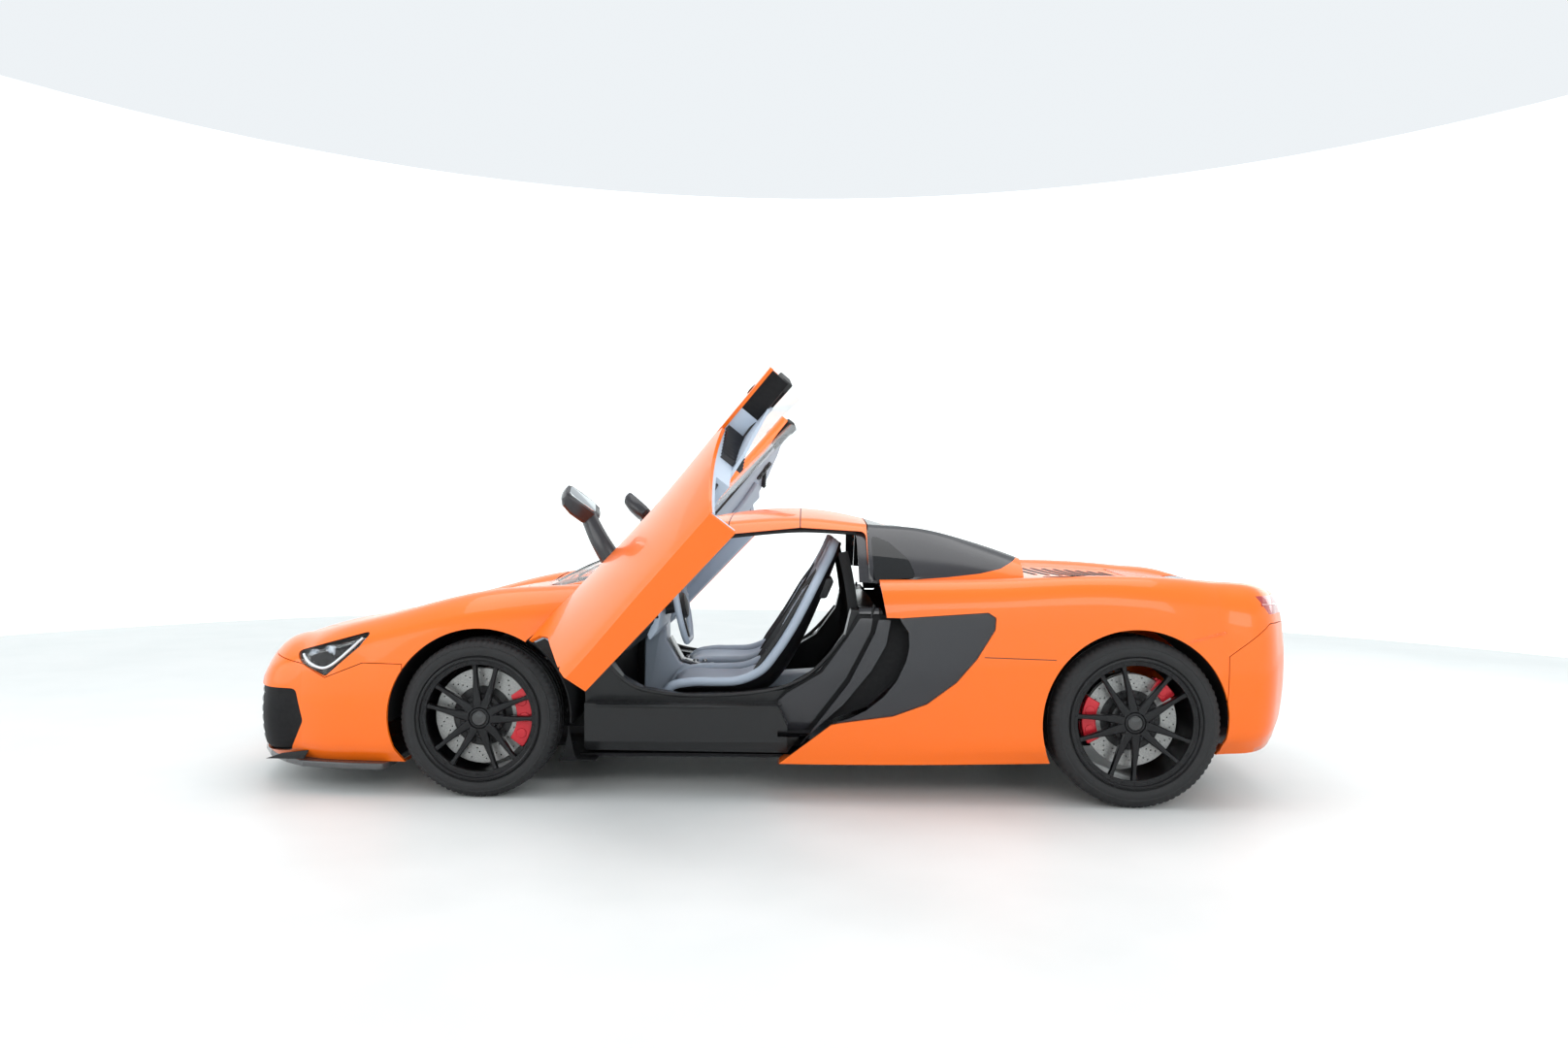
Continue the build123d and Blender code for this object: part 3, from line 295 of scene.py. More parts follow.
# ---------------------------------------------------------------- meshes
def hermite(places: np.ndarray, values: np.ndarray, at: np.ndarray) -> np.ndarray:
    """Smooth values through a table.

    Args:
        places: Places of the table's rows, rising.
        values: One row of values for each place.
        at: Places where values are wanted.

    Returns:
        One row of values for each place in at.
    """
    step = np.diff(places)
    slope = np.diff(values, axis=0) / step[:, None]
    tangent = np.empty_like(values)
    tangent[1:-1] = (slope[:-1] * step[1:, None] + slope[1:] * step[:-1, None]) / (step[1:] + step[:-1])[:,
            None]
    tangent[0], tangent[-1] = slope[0], slope[-1]
    index = np.clip(np.searchsorted(places, at, side="right") - 1, 0, len(places) - 2)
    width = step[index][:, None]
    t = ((at - places[index]) / step[index])[:, None]
    h00, h10 = 2 * t**3 - 3 * t**2 + 1, t**3 - 2 * t**2 + t
    h01, h11 = -2 * t**3 + 3 * t**2, t**3 - t**2
    before = h00 * values[index] + h10 * width * tangent[index]
    return before + h01 * values[index + 1] + h11 * width * tangent[index + 1]


def arc_points(a: np.ndarray, b: np.ndarray, c: np.ndarray, count: int) -> np.ndarray:
    """Points of smooth arcs through three points each, from a by b to c.

    Args:
        a: Starts, one row each.
        b: Middles.
        c: Ends.
        count: How many points each arc gets.

    Returns:
        An array (arcs, count, 2).
    """
    first = np.linalg.norm(b - a, axis=1)
    m = (first / (first + np.linalg.norm(c - b, axis=1)))[:, None, None]
    t = np.linspace(0, 1, count)[None, :, None]
    a, b, c = a[:, None], b[:, None], c[:, None]
    return a * (t - m) * (t - 1) / m + b * t * (t - 1) / (m * (m - 1)) + c * t * (t - m) / (1 - m)


def new_mesh(name: str, vertices: np.ndarray, faces: list) -> bpy.types.Object:
    """Link an object made of points in metres and faces.

    Args:
        name: The object's name.
        vertices: Its points.
        faces: Its faces, each a sequence of point numbers.

    Returns:
        The object.
    """
    mesh = bpy.data.meshes.new(name)
    mesh.from_pydata([tuple(v) for v in vertices], [], [tuple(f) for f in faces])
    mesh.update()
    piece = bpy.data.objects.new(name, mesh)
    bpy.context.scene.collection.objects.link(piece)
    return piece


def rounded(points: Outline, radius: float, steps: int = 4) -> Outline:
    """An outline with its corners rounded.

    Args:
        points: The corners in order.
        radius: The radius, smaller where an edge is short.
        steps: How many chords a corner gets.

    Returns:
        The rounded outline.
    """
    corners = [np.array(p, float) for p in points]
    out: Outline = []
    for before, corner, after in zip(corners[-1:] + corners[:-1], corners, corners[1:] + corners[:1]):
        to_before, to_after = before - corner, after - corner
        reach = min(np.linalg.norm(to_before), np.linalg.norm(to_after)) * 0.45
        u, v = to_before / np.linalg.norm(to_before), to_after / np.linalg.norm(to_after)
        half = math.acos(float(np.clip(u @ v, -1, 1))) / 2
        length = min(radius / max(math.tan(half), 1e-6), reach)
        start, end = corner + u * length, corner + v * length
        for i in range(steps + 1):
            t = i / steps
            out.append(tuple((1 - t) ** 2 * start + 2 * t * (1 - t) * corner + t**2 * end))
    return out


def offset_outline(points: Outline, gap: float) -> Outline:
    """An outline with every edge moved outwards.

    Args:
        points: The corners in order.
        gap: How far the edges move.

    Returns:
        The larger outline.
    """
    corners = [np.array(p, float) for p in points]
    area = sum(a[0] * b[1] - b[0] * a[1] for a, b in zip(corners, corners[1:] + corners[:1]))
    turn = 1 if area > 0 else -1
    out = []
    for before, corner, after in zip(corners[-1:] + corners[:-1], corners, corners[1:] + corners[:1]):
        e1, e2 = corner - before, after - corner
        n1 = turn * np.array([e1[1], -e1[0]]) / np.linalg.norm(e1)
        n2 = turn * np.array([e2[1], -e2[0]]) / np.linalg.norm(e2)
        move = (n1 + n2) / max(1 + n1 @ n2, 0.3)
        out.append(tuple(corner + gap * move))
    return out


class View(Enum):
    """Which way an outline is looked at: side view (x, z), plan view (x, y) or end view (y, z)."""

    SIDE = 1
    PLAN = 2
    END = 0


def prism(points: Outline, view: View, low: float, high: float) -> bpy.types.Object:
    """A closed prism of an outline, used to cut panels. All in millimetres.

    Args:
        points: The outline.
        view: The plane that the outline lies in.
        low: Where the prism starts, across that plane.
        high: Where it ends.

    Returns:
        The prism as an object.
    """
    count = len(points)
    rows = []
    for depth in (low, high):
        for u, v in points:
            rows.append({View.SIDE: (u, depth, v), View.PLAN: (u, v, depth), View.END: (depth, u, v)}[view])
    faces = [tuple(range(count)), tuple(range(2 * count - 1, count - 1, -1))]
    faces += [(i, i + count, (i + 1) % count + count, (i + 1) % count) for i in range(count)]
    piece = new_mesh("cutter", np.array(rows) * MM, faces)
    edit = bmesh.new()
    edit.from_mesh(piece.data)
    bmesh.ops.recalc_face_normals(edit, faces=edit.faces)
    edit.to_mesh(piece.data)
    edit.free()
    return piece


def block(x0: float, x1: float, y0: float, y1: float, z0: float, z1: float) -> bpy.types.Object:
    """A cutting block between two corners, in millimetres."""
    return prism([(x0, z0), (x1, z0), (x1, z1), (x0, z1)], View.SIDE, y0, y1)


def drum(x: float, z: float, radius: float, y0: float, y1: float, steps: int = 96) -> bpy.types.Object:
    """A cutting drum across the car, in millimetres.

    Args:
        x: Its axis, along the car.
        z: Its axis, above the ground.
        radius: Its radius.
        y0: Its one end.
        y1: Its other end.
        steps: How many flats it has.

    Returns:
        The drum as an object.
    """
    ring = [(x + radius * math.cos(2 * math.pi * i / steps), z + radius * math.sin(2 * math.pi * i / steps))
            for i in range(steps)]
    return prism(ring, View.SIDE, y0, y1)


def applied(piece: bpy.types.Object) -> bpy.types.Object:
    """Apply the modifiers of a piece and give it back.

    Args:
        piece: The piece.

    Returns:
        The same piece, with its final mesh.
    """
    graph = bpy.context.evaluated_depsgraph_get()
    mesh = bpy.data.meshes.new_from_object(piece.evaluated_get(graph), depsgraph=graph)
    old = piece.data
    piece.modifiers.clear()
    piece.data = mesh
    mesh.name = piece.name
    if old.users == 0:
        bpy.data.meshes.remove(old)
    return piece


def remove(*pieces: bpy.types.Object) -> None:
    """Delete helper objects and their meshes."""
    for piece in pieces:
        mesh = piece.data
        bpy.data.objects.remove(piece)
        if mesh.users == 0:
            bpy.data.meshes.remove(mesh)


def shade(piece: bpy.types.Object, degrees: float = 32.0) -> bpy.types.Object:
    """Smooth shading with edges kept sharp above an angle.

    Args:
        piece: The piece.
        degrees: The angle above which an edge stays sharp.

    Returns:
        The same piece.
    """
    piece.data.shade_smooth()
    piece.data.set_sharp_from_angle(angle=math.radians(degrees))
    return piece


def bevelled(piece: bpy.types.Object, width: float, segments: int = 2,
             angle: float = 35.0) -> bpy.types.Object:
    """Round a piece's sharp edges.

    Args:
        piece: The piece.
        width: The bevel's width in millimetres.
        segments: Its segments.
        angle: The angle above which an edge is bevelled.

    Returns:
        The same piece, with the bevel applied.
    """
    bevel = piece.modifiers.new("bevel", "BEVEL")
    bevel.width = width * MM
    bevel.segments = segments
    bevel.limit_method = "ANGLE"
    bevel.angle_limit = math.radians(angle)
    bevel.harden_normals = False
    return shade(applied(piece))


def place(piece: bpy.types.Object, body: str, finish: Finish, *nodes: str) -> bpy.types.Object:
    """Give a piece its finish, its body and the CAD nodes that it stands for.

    Args:
        piece: The piece, already in place.
        body: The CAD body that it rides on.
        finish: Its finish.
        nodes: The CAD nodes that it replaces.

    Returns:
        The piece.
    """
    piece.data.materials.clear()
    piece.data.materials.append(finish.material())
    if nodes:
        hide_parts(*nodes)
    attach(piece, body)
    return piece


@dataclass
class Skin:
    """A smooth closed body surface through a table of cross-sections, and a second one inside it.

    The table's first column is the place along the car, and the section method turns the other
    columns into a half profile from the bottom centre to the top centre.
    """

    rows: np.ndarray
    thickness: float
    spacing: float = 22.0

    def half_profile(self, columns: np.ndarray) -> np.ndarray:
        """Half profiles (stations, points, 2) as half width and height; made by each kind of skin."""
        raise NotImplementedError

    def stations(self) -> np.ndarray:
        """Places along the car, closer together at the ends.

        Returns:
            The places, in millimetres.
        """
        x = self.rows[:, 0]
        count = int((x[-1] - x[0]) / self.spacing)
        return np.unique(np.concatenate([np.linspace(x[0], x[-1], count), x]))

    def surface(self, depth: float) -> tuple[np.ndarray, np.ndarray]:
        """Grid of points and outward normals at a depth below the skin.

        Args:
            depth: How far below the outer surface, in millimetres.

        Returns:
            Points and normals, both (stations, round the section, 3).
        """
        x = self.stations()
        half = self.half_profile(hermite(self.rows[:, 0], self.rows[:, 1:], x))
        left = np.stack([np.repeat(x[:, None], half.shape[1], 1), -half[..., 0], half[..., 1]], 2)
        right = left[:, -2:0:-1] * (1, -1, 1)
        points = np.concatenate([left, right], 1)
        along = np.gradient(points, axis=0)
        across = np.roll(points, -1, 1) - np.roll(points, 1, 1)
        normal = np.cross(along, across)
        normal /= np.linalg.norm(normal, axis=2, keepdims=True) + 1e-9
        return points - depth * normal, normal

    def shell(self, depth: float = 0.0, thickness: float | None = None) -> "Shell":
        """The skin as a closed shell between two depths.

        Args:
            depth: The outer face's depth below the surface.
            thickness: The shell's thickness, or None for the skin's own.

        Returns:
            The shell.
        """
        inner_depth = depth + (self.thickness if thickness is None else thickness)
        outer, normal = self.surface(depth)
        inner, _ = self.surface(inner_depth)
        inner[..., 0] = np.clip(inner[..., 0], outer[..., 0].min() + inner_depth - depth,
                                outer[..., 0].max() - inner_depth + depth)
        rows, around = outer.shape[:2]
        vertices = np.concatenate([outer.reshape(-1, 3), inner.reshape(-1, 3)]) * MM
        faces = []
        for start, flip in ((0, False), (rows * around, True)):
            for i in range(rows - 1):
                for j in range(around):
                    k = (j + 1) % around
                    quad = (start + i * around + j, start + i * around + k,
                            start + (i + 1) * around + k, start + (i + 1) * around + j)
                    faces.append(quad if flip else quad[::-1])
            ends = (range(start, start + around), range(start + (rows - 1) * around, start + rows * around))
            faces.append(tuple(ends[0]) if not flip else tuple(ends[0])[::-1])
            faces.append(tuple(ends[1])[::-1] if not flip else tuple(ends[1]))
        return Shell(vertices, faces, np.concatenate([normal.reshape(-1, 3), -normal.reshape(-1, 3)]))


@dataclass
class Shell:
    """A closed shell that panels are cut from, with the smooth normals of its two faces."""

    vertices: np.ndarray
    faces: list
    normals: np.ndarray

    def __post_init__(self) -> None:
        """Sort the points for the search that gives panels their normals."""
        self.tree = KDTree(len(self.vertices))
        for index, point in enumerate(self.vertices):
            self.tree.insert(point, index)
        self.tree.balance()

    def panel(self, name: str, keep: list[bpy.types.Object] = (),
              cut: list[bpy.types.Object] = ()) -> bpy.types.Object:
        """Cut a panel out of the shell.

        Args:
            name: The panel's name.
            keep: Prisms that the panel lies inside.
            cut: Prisms that are taken out of it.

        Returns:
            The panel, shaded by the shell's own curvature.
        """
        piece = new_mesh(name, self.vertices, self.faces)
        for cutter, operation in [(c, "INTERSECT") for c in keep] + [(c, "DIFFERENCE") for c in cut]:
            boolean = piece.modifiers.new("cut", "BOOLEAN")
            boolean.object, boolean.operation, boolean.solver = cutter, operation, "MANIFOLD"
        applied(piece)
        self.smooth(piece)
        return piece

    def smooth(self, piece: bpy.types.Object) -> None:
        """Give a panel's two faces the shell's normals, and keep its cut edges flat.

        Args:
            piece: The panel.
        """
        mesh = piece.data
        mesh.shade_smooth()
        points = np.empty(len(mesh.vertices) * 3)
        mesh.vertices.foreach_get("co", points)
        points = points.reshape(-1, 3)
        normals = []
        memory: dict[int, list[np.ndarray]] = {}
        for polygon in mesh.polygons:
            face = np.array(polygon.normal)
            for corner in polygon.loop_indices:
                vertex = mesh.loops[corner].vertex_index
                if vertex not in memory:
                    near = self.tree.find_n(points[vertex], 4)
                    weights = [1 / (distance + 1e-5) for _, _, distance in near]
                    memory[vertex] = [self.normals[i] * w for (_, i, _), w in zip(near, weights)]
                total = sum((n for n in memory[vertex] if n @ face > 0.75 * np.linalg.norm(n)), np.zeros(3))
                length = np.linalg.norm(total)
                normals.append(tuple(total / length) if length > 1e-9 else tuple(face))
        mesh.normals_split_custom_set(normals)


@dataclass
class HullSkin(Skin):
    """The lower body: floor, flanks, wings and decks."""

    def half_profile(self, columns: np.ndarray) -> np.ndarray:
        """Half profiles of the hull; see Skin.half_profile for Args and Returns."""
        points = columns[:, :12].reshape(-1, 6, 2)
        floor, sill, side, waist, crest, deck = (points[:, i] for i in range(6))
        middle = columns[:, 12]
        t = np.linspace(0, 1, 5)[None, :, None]
        bottom = np.stack([np.zeros(len(columns)), floor[:, 1]], 1)
        runs = [bottom[:, None] * (1 - t) + floor[:, None] * t]
        t = np.linspace(0, 1, 4)[None, :, None]
        runs.append((floor[:, None] * (1 - t) + sill[:, None] * t)[:, 1:])
        runs.append(arc_points(sill, side, waist, 13)[:, 1:])
        runs.append(arc_points(waist, crest, deck, 13)[:, 1:])
        across = np.linspace(1, 0, 13)[1:]
        width = deck[:, :1] * across
        runs.append(np.stack([width, middle[:, None] + (deck[:, 1:] - middle[:, None]) * across**2], 2))
        return np.concatenate(runs, 1)


@dataclass
class GreenSkin(Skin):
    """The greenhouse: pillars, side windows, roof and buttresses."""

    floor: float = 700.0

    def half_profile(self, columns: np.ndarray) -> np.ndarray:
        """Half profiles of the greenhouse; see Skin.half_profile for Args and Returns."""
        points = columns[:, :6].reshape(-1, 3, 2)
        foot, glass, rail = (points[:, i] for i in range(3))
        middle = columns[:, 6]
        bottom = np.stack([np.zeros(len(columns)), np.full(len(columns), self.floor)], 1)
        corner = np.stack([foot[:, 0], np.full(len(columns), self.floor)], 1)
        t = np.linspace(0, 1, 4)[None, :, None]
        runs = [bottom[:, None] * (1 - t) + corner[:, None] * t]
        runs.append((corner[:, None] * (1 - t) + foot[:, None] * t)[:, 1:])
        runs.append(arc_points(foot, glass, rail, 14)[:, 1:])
        across = np.linspace(1, 0, 15)[1:]
        width = rail[:, :1] * across
        runs.append(np.stack([width, middle[:, None] + (rail[:, 1:] - middle[:, None]) * across**2.2], 2))
        return np.concatenate(runs, 1)


HULL_ROWS = np.array([
    # x, floor y z, sill y z, side y z, waist y z, crest y z, deck y z, middle z
    (-2256, 210, 172, 280, 205, 330, 285, 320, 350, 250, 392, 140, 408, 412),
    (-2240, 330, 150, 400, 190, 430, 280, 420, 360, 330, 410, 180, 428, 432),
    (-2130, 640, 125, 740, 180, 775, 330, 745, 455, 610, 545, 420, 566, 578),
    (-1900, 810, 116, 885, 190, 912, 400, 880, 560, 740, 640, 560, 640, 655),
    (-1600, 860, 116, 925, 190, 948, 460, 905, 640, 780, 722, 600, 690, 722),
    (-1161, 880, 130, 930, 200, 954, 500, 920, 735, 790, 832, 610, 796, 815),
    (-800, 872, 145, 902, 200, 930, 520, 900, 745, 800, 850, 620, 838, 858),
    (-300, 893, 152, 908, 205, 922, 520, 884, 760, 806, 868, 660, 862, 880),
    (300, 908, 155, 922, 215, 938, 520, 904, 790, 850, 878, 690, 884, 900),
    (900, 900, 164, 932, 230, 952, 540, 932, 800, 876, 898, 740, 900, 915),
    (1400, 880, 178, 935, 250, 954, 560, 935, 815, 872, 925, 740, 915, 905),
    (1850, 840, 205, 905, 280, 930, 560, 895, 800, 815, 905, 660, 892, 876),
    (2120, 740, 250, 800, 330, 835, 560, 805, 760, 720, 868, 540, 858, 850),
    (2190, 600, 290, 650, 370, 690, 560, 665, 740, 590, 838, 440, 842, 843),
    (2236, 360, 330, 400, 400, 430, 560, 410, 720, 350, 814, 250, 824, 828),
    (2256, 150, 340, 180, 420, 200, 560, 190, 700, 165, 790, 110, 802, 806),
], float)

GREEN_ROWS = np.array([
    # x, foot y z, glass y z, rail y z, middle z
    (-1030, 545, 770, 540, 800, 520, 828, 846),
    (-800, 720, 770, 722, 820, 712, 866, 948),
    (-643, 812, 790, 812, 850, 800, 889, 1020),
    (-474, 824, 800, 780, 910, 700, 1002, 1092),
    (-306, 826, 800, 752, 975, 605, 1112, 1150),
    (-120, 828, 800, 745, 990, 590, 1138, 1186),
    (142, 828, 800, 745, 995, 590, 1152, 1203),
    (424, 826, 800, 745, 985, 585, 1132, 1162),
    (672, 820, 800, 745, 960, 575, 1116, 1082),
    (882, 800, 800, 740, 950, 590, 1064, 1005),
    (1060, 780, 800, 730, 930, 610, 1006, 915),
    (1260, 740, 790, 710, 880, 630, 925, 870),
], float)


# ---------------------------------------------------------------- lofts, turned pieces and tubes
def outward(piece: bpy.types.Object) -> bpy.types.Object:
    """Turn a closed piece's faces outwards.

    Args:
        piece: The piece.

    Returns:
        The same piece.
    """
    edit = bmesh.new()
    edit.from_mesh(piece.data)
    bmesh.ops.recalc_face_normals(edit, faces=edit.faces)
    edit.to_mesh(piece.data)
    edit.free()
    return piece


def lofted(name: str, rings: list[np.ndarray], closed: bool = False) -> bpy.types.Object:
    """A closed skin through rings of points in millimetres.

    Args:
        name: The piece's name.
        rings: The rings, all with the same number of points.
        closed: True where the last ring joins the first.

    Returns:
        The piece, smooth shaded.
    """
    count = len(rings[0])
    faces = []
    for i in range(len(rings) if closed else len(rings) - 1):
        a, b = i * count, (i + 1) % len(rings) * count
        faces += [(a + j, a + (j + 1) % count, b + (j + 1) % count, b + j) for j in range(count)]
    if not closed:
        faces += [tuple(range(count)), tuple(range((len(rings) - 1) * count, len(rings) * count))]
    return shade(outward(new_mesh(name, np.concatenate(rings) * MM, faces)))


def tube(name: str, points: list[tuple[float, float, float]], radius: float, closed: bool = False,
         flat: float = 1.0) -> bpy.types.Object:
    """A smooth round bar along a line.

    Args:
        name: The piece's name.
        points: Control points in millimetres.
        radius: The bar's radius.
        closed: True for a ring.
        flat: Its thickness over its width, for a strip.

    Returns:
        The bar as a mesh.
    """
    curve = bpy.data.curves.new(name, "CURVE")
    curve.dimensions = "3D"
    curve.resolution_u = 5
    spline = curve.splines.new("NURBS")
    spline.points.add(len(points) - 1)
    for knot, point in zip(spline.points, points):
        knot.co = (*(v * MM for v in point), 1.0)
    spline.use_cyclic_u, spline.use_endpoint_u = closed, not closed
    spline.order_u = 3
    helper = bpy.data.objects.new(name, curve)
    bpy.context.scene.collection.objects.link(helper)
    line = bpy.data.meshes.new_from_object(helper.evaluated_get(bpy.context.evaluated_depsgraph_get()))
    path = np.array([v.co[:] for v in line.vertices]) / MM
    bpy.data.objects.remove(helper)
    bpy.data.curves.remove(curve)
    bpy.data.meshes.remove(line)
    if closed:
        heading = np.roll(path, -1, 0) - np.roll(path, 1, 0)
    else:
        heading = np.gradient(path, axis=0)
    heading /= np.linalg.norm(heading, axis=1, keepdims=True)
    up = np.array([0.0, 1.0, 0.0]) if abs(heading[0, 1]) < 0.8 else np.array([0.0, 0.0, 1.0])
    turns = np.linspace(0, 2 * np.pi, 10, endpoint=False)
    rings = []
    for point, ahead in zip(path, heading):
        side = np.cross(ahead, up)
        side /= np.linalg.norm(side)
        up = np.cross(side, ahead)
        rings.append(point + radius * (np.outer(np.cos(turns), side) + flat * np.outer(np.sin(turns), up)))
    piece = lofted(name, rings, closed)
    return shade(piece, 50)


def joined(name: str, pieces: list[bpy.types.Object]) -> bpy.types.Object:
    """Several meshes as one object; the separate ones are deleted.

    Args:
        name: The new object's name.
        pieces: The separate objects.

    Returns:
        The new object.
    """
    edit = bmesh.new()
    for piece in pieces:
        edit.from_mesh(piece.data)
    mesh = bpy.data.meshes.new(name)
    edit.to_mesh(mesh)
    edit.free()
    remove(*pieces)
    whole = bpy.data.objects.new(name, mesh)
    bpy.context.scene.collection.objects.link(whole)
    return shade(whole)


def plumped(piece: bpy.types.Object, voxel: float = 6.0, cap: float = 10.0,
            pressure: float = 4.0) -> bpy.types.Object:
    """Fill a pad with air as cloth, so that it swells between its edges.

    Args:
        piece: The pad's closed mesh.
        voxel: The size of the new mesh's faces, in millimetres.
        cap: How far a point may move, in millimetres.
        pressure: The air's pressure.

    Returns:
        The same piece with the result applied.
    """
    remesh = piece.modifiers.new("remesh", "REMESH")
    remesh.mode, remesh.voxel_size = "VOXEL", voxel * MM
    applied(piece)
    before = np.empty(len(piece.data.vertices) * 3)
    piece.data.vertices.foreach_get("co", before)
    cloth = piece.modifiers.new("cloth", "CLOTH")
    cloth.settings.use_pressure = True
    cloth.settings.uniform_pressure_force = pressure
    cloth.settings.effector_weights.gravity = 0.0
    cloth.settings.quality = 4
    cloth.point_cache.frame_start, cloth.point_cache.frame_end = 1, 20
    for step in range(1, 21):
        bpy.context.scene.frame_set(step)
    applied(piece)
    bpy.context.scene.frame_set(1)
    after = np.empty(len(before))
    piece.data.vertices.foreach_get("co", after)
    move = (after - before).reshape(-1, 3)
    length = np.linalg.norm(move, axis=1, keepdims=True)
    limit = cap * MM
    move *= np.minimum(1.0, limit / np.maximum(length, 1e-9))
    piece.data.vertices.foreach_set("co", (before.reshape(-1, 3) + move).ravel())
    smooth = piece.modifiers.new("even", "SMOOTH")
    smooth.iterations, smooth.factor = 3, 0.5
    applied(piece)
    piece.data.shade_smooth()
    return piece


# ---------------------------------------------------------------- wheels
@dataclass
class Wheel:
    """A tyre on a forged wheel with five pairs of slim spokes, its drilled disc and its calipers."""

    axle: Axle
    side: Side
    x: float
    y: float
    radius: float
    width: float
    rim: float
    rim_width: float
    face: float
    disc_plane: float
    disc_radius: float
    phase: float
    tread_blocks: int = 80

    @property
    def tag(self) -> str:
        """End and side, as the nodes have it."""
        return f"{self.axle.value}_{self.side.word}"

    def at(self, radius: float, turn: float, across: float) -> np.ndarray:
        """A point at a radius, an angle in degrees and a distance outboard of the wheel's middle."""
        a = math.radians(turn)
        return np.array([self.x + radius * math.cos(a), self.side.value * (self.y + across),
                         self.radius + radius * math.sin(a)])

    def turned(self, name: str, profile: Outline, steps: int = 120) -> bpy.types.Object:
        """A closed profile of radius and width, turned round the axle."""
        rings = [np.array([self.at(r, 360 * i / steps, w) for r, w in profile]) for i in range(steps)]
        return lofted(name, rings, closed=True)

    def tyre(self) -> bpy.types.Object:
        """The tyre: ribbed walls, a rim guard, grooves and shoulder blocks.

        Returns:
            The tyre.
        """
        half, bead, top = self.width / 2, self.rim - 10, self.radius
        wall = [(bead, -half + 14), (bead + 12, -half + 13), (bead + 18, -half + 5), (bead + 24, -half + 4),
                (bead + 30, -half + 1.5), (bead + 46, -half + 1), (bead + 48, -half + 2),
                (bead + 52, -half + 2), (bead + 54, -half + 1), (top - 26, -half + 5),
                (top - 22, -half + 7)]
        shoulder = [(top - 12, -half + 13), (top - 5, -half + 22), (top - 1.5, -half + 33)]
        tread = []
        for groove in (-0.27, -0.09, 0.09, 0.27):
            mid = groove * self.width
            tread += [(top, mid - 6), (top - 7, mid - 4.5), (top - 7, mid + 4.5), (top, mid + 6)]
        mirror_side = [(r, -w) for r, w in reversed(wall + shoulder)]
        inside = [(bead, half - 30), (bead + 20, half - 17), (top - 18, half - 26), (top - 18, -half + 26),
                  (bead + 20, -half + 17), (bead, -half + 30)]
        profile = wall + shoulder + tread + mirror_side + inside
        rings = []
        steps = self.tread_blocks * 3
        first, last = len(wall) - 2, len(wall) + len(shoulder) + len(tread) + 5
        for i in range(steps):
            cut = i % 3 == 0
            ring = []
            for j, (r, w) in enumerate(profile):
                depth = 0.0
                if cut and first <= j < last and abs(w) > 0.29 * self.width and abs(w) < half - 4:
                    depth = 4.0
                if i % 6 == 0 and abs(w) < 0.08 * self.width and r > top - 1:
                    depth = 3.0
                ring.append(self.at(r - depth, 360 * i / steps + abs(w) * 0.02, w))
            rings.append(np.array(ring))
        return lofted(f"tyre_carcass_{self.tag}", rings, closed=True)

    def barrel(self) -> bpy.types.Object:
        """The rim's barrel with its stepped outer lip."""
        half, outer = self.rim_width / 2, self.rim
        return self.turned(f"rim_barrel_{self.tag}", [
            (outer, -half), (outer, -half + 8), (outer - 11, -half + 9), (outer - 11, -half + 40),
            (outer - 24, -half + 60), (outer - 24, half - 44), (outer - 11, half - 30),
            (outer - 11, half - 9), (outer - 1, half - 8), (outer, half - 5), (outer - 1, half - 1),
            (outer - 3, half), (outer - 9, half), (outer - 12, half - 2), (outer - 13, half - 12),
            (outer - 15, half - 14), (outer - 31, half - 15), (outer - 33, half - 17),
            (outer - 34, half - 30), (outer - 31, half - 42), (outer - 31, -half + 58),
            (outer - 18, -half + 38), (outer - 17, -half)], 144)

    def spoke(self, turn: float, lean: int) -> bpy.types.Object:
        """One slim spoke from the hub to the lip, deeper at its root.

        Args:
            turn: Its pair's angle round the wheel, in degrees.
            lean: Which of the pair it is, -1 or 1.

        Returns:
            The spoke.
        """
        face = self.face - self.y
        rings = []
        for t in np.linspace(0, 1, 9):
            radius = 44 + (self.rim - 30 - 44) * t
            angle = turn + lean * (17.5 * (1 - t) ** 1.6 + 11.8 * (1 - (1 - t) ** 1.6))
            wide = 12.5 * (1 - t) ** 1.5 + 7.5 + 4.5 * max(0.0, t - 0.85) / 0.15
            front = face - 3 - 9 * math.sin(math.pi * min(1.0, (1 - t) * 1.1)) * 0.6
            deep = 30 - 12 * t
            centre = self.at(radius, angle, 0)
            a = math.radians(angle)
            sideways = np.array([-math.sin(a), 0, math.cos(a)])
            out = np.array([0, self.side.value, 0])
            section = [(-1, -deep), (-1, -4), (-0.75, 0), (-0.2, 0.8), (0.2, 0.8), (0.75, 0), (1, -4),
                       (1, -deep)]
            rings.append(np.array([centre + sideways * wide * u + out * (front + v) for u, v in section]))
        return lofted("spoke", rings)

    def bolt(self, radius: float, turn: float, level: float, size: float, tall: float) -> bpy.types.Object:
        """A small socket bolt that stands on the wheel's face.

        Args:
            radius: How far it stands from the axle.
            turn: Its angle round the wheel, in degrees.
            level: The height that it stands on.
            size: Its head's radius.
            tall: Its head's height.

        Returns:
            The bolt.
        """
        rings = []
        middle = self.at(radius, turn, 0)
        for r, w in ((size, level - 3), (size, level + tall * 0.7), (size * 0.8, level + tall),
                     (size * 0.5, level + tall), (size * 0.45, level + tall * 0.3)):
            turns = np.linspace(0, 2 * np.pi, 8, endpoint=False)
            rings.append(np.stack([middle[0] + r * np.cos(turns), np.full(8,
                    self.side.value * (self.y + w)),
                                   middle[2] + r * np.sin(turns)], 1))
        return lofted("bolt", rings)

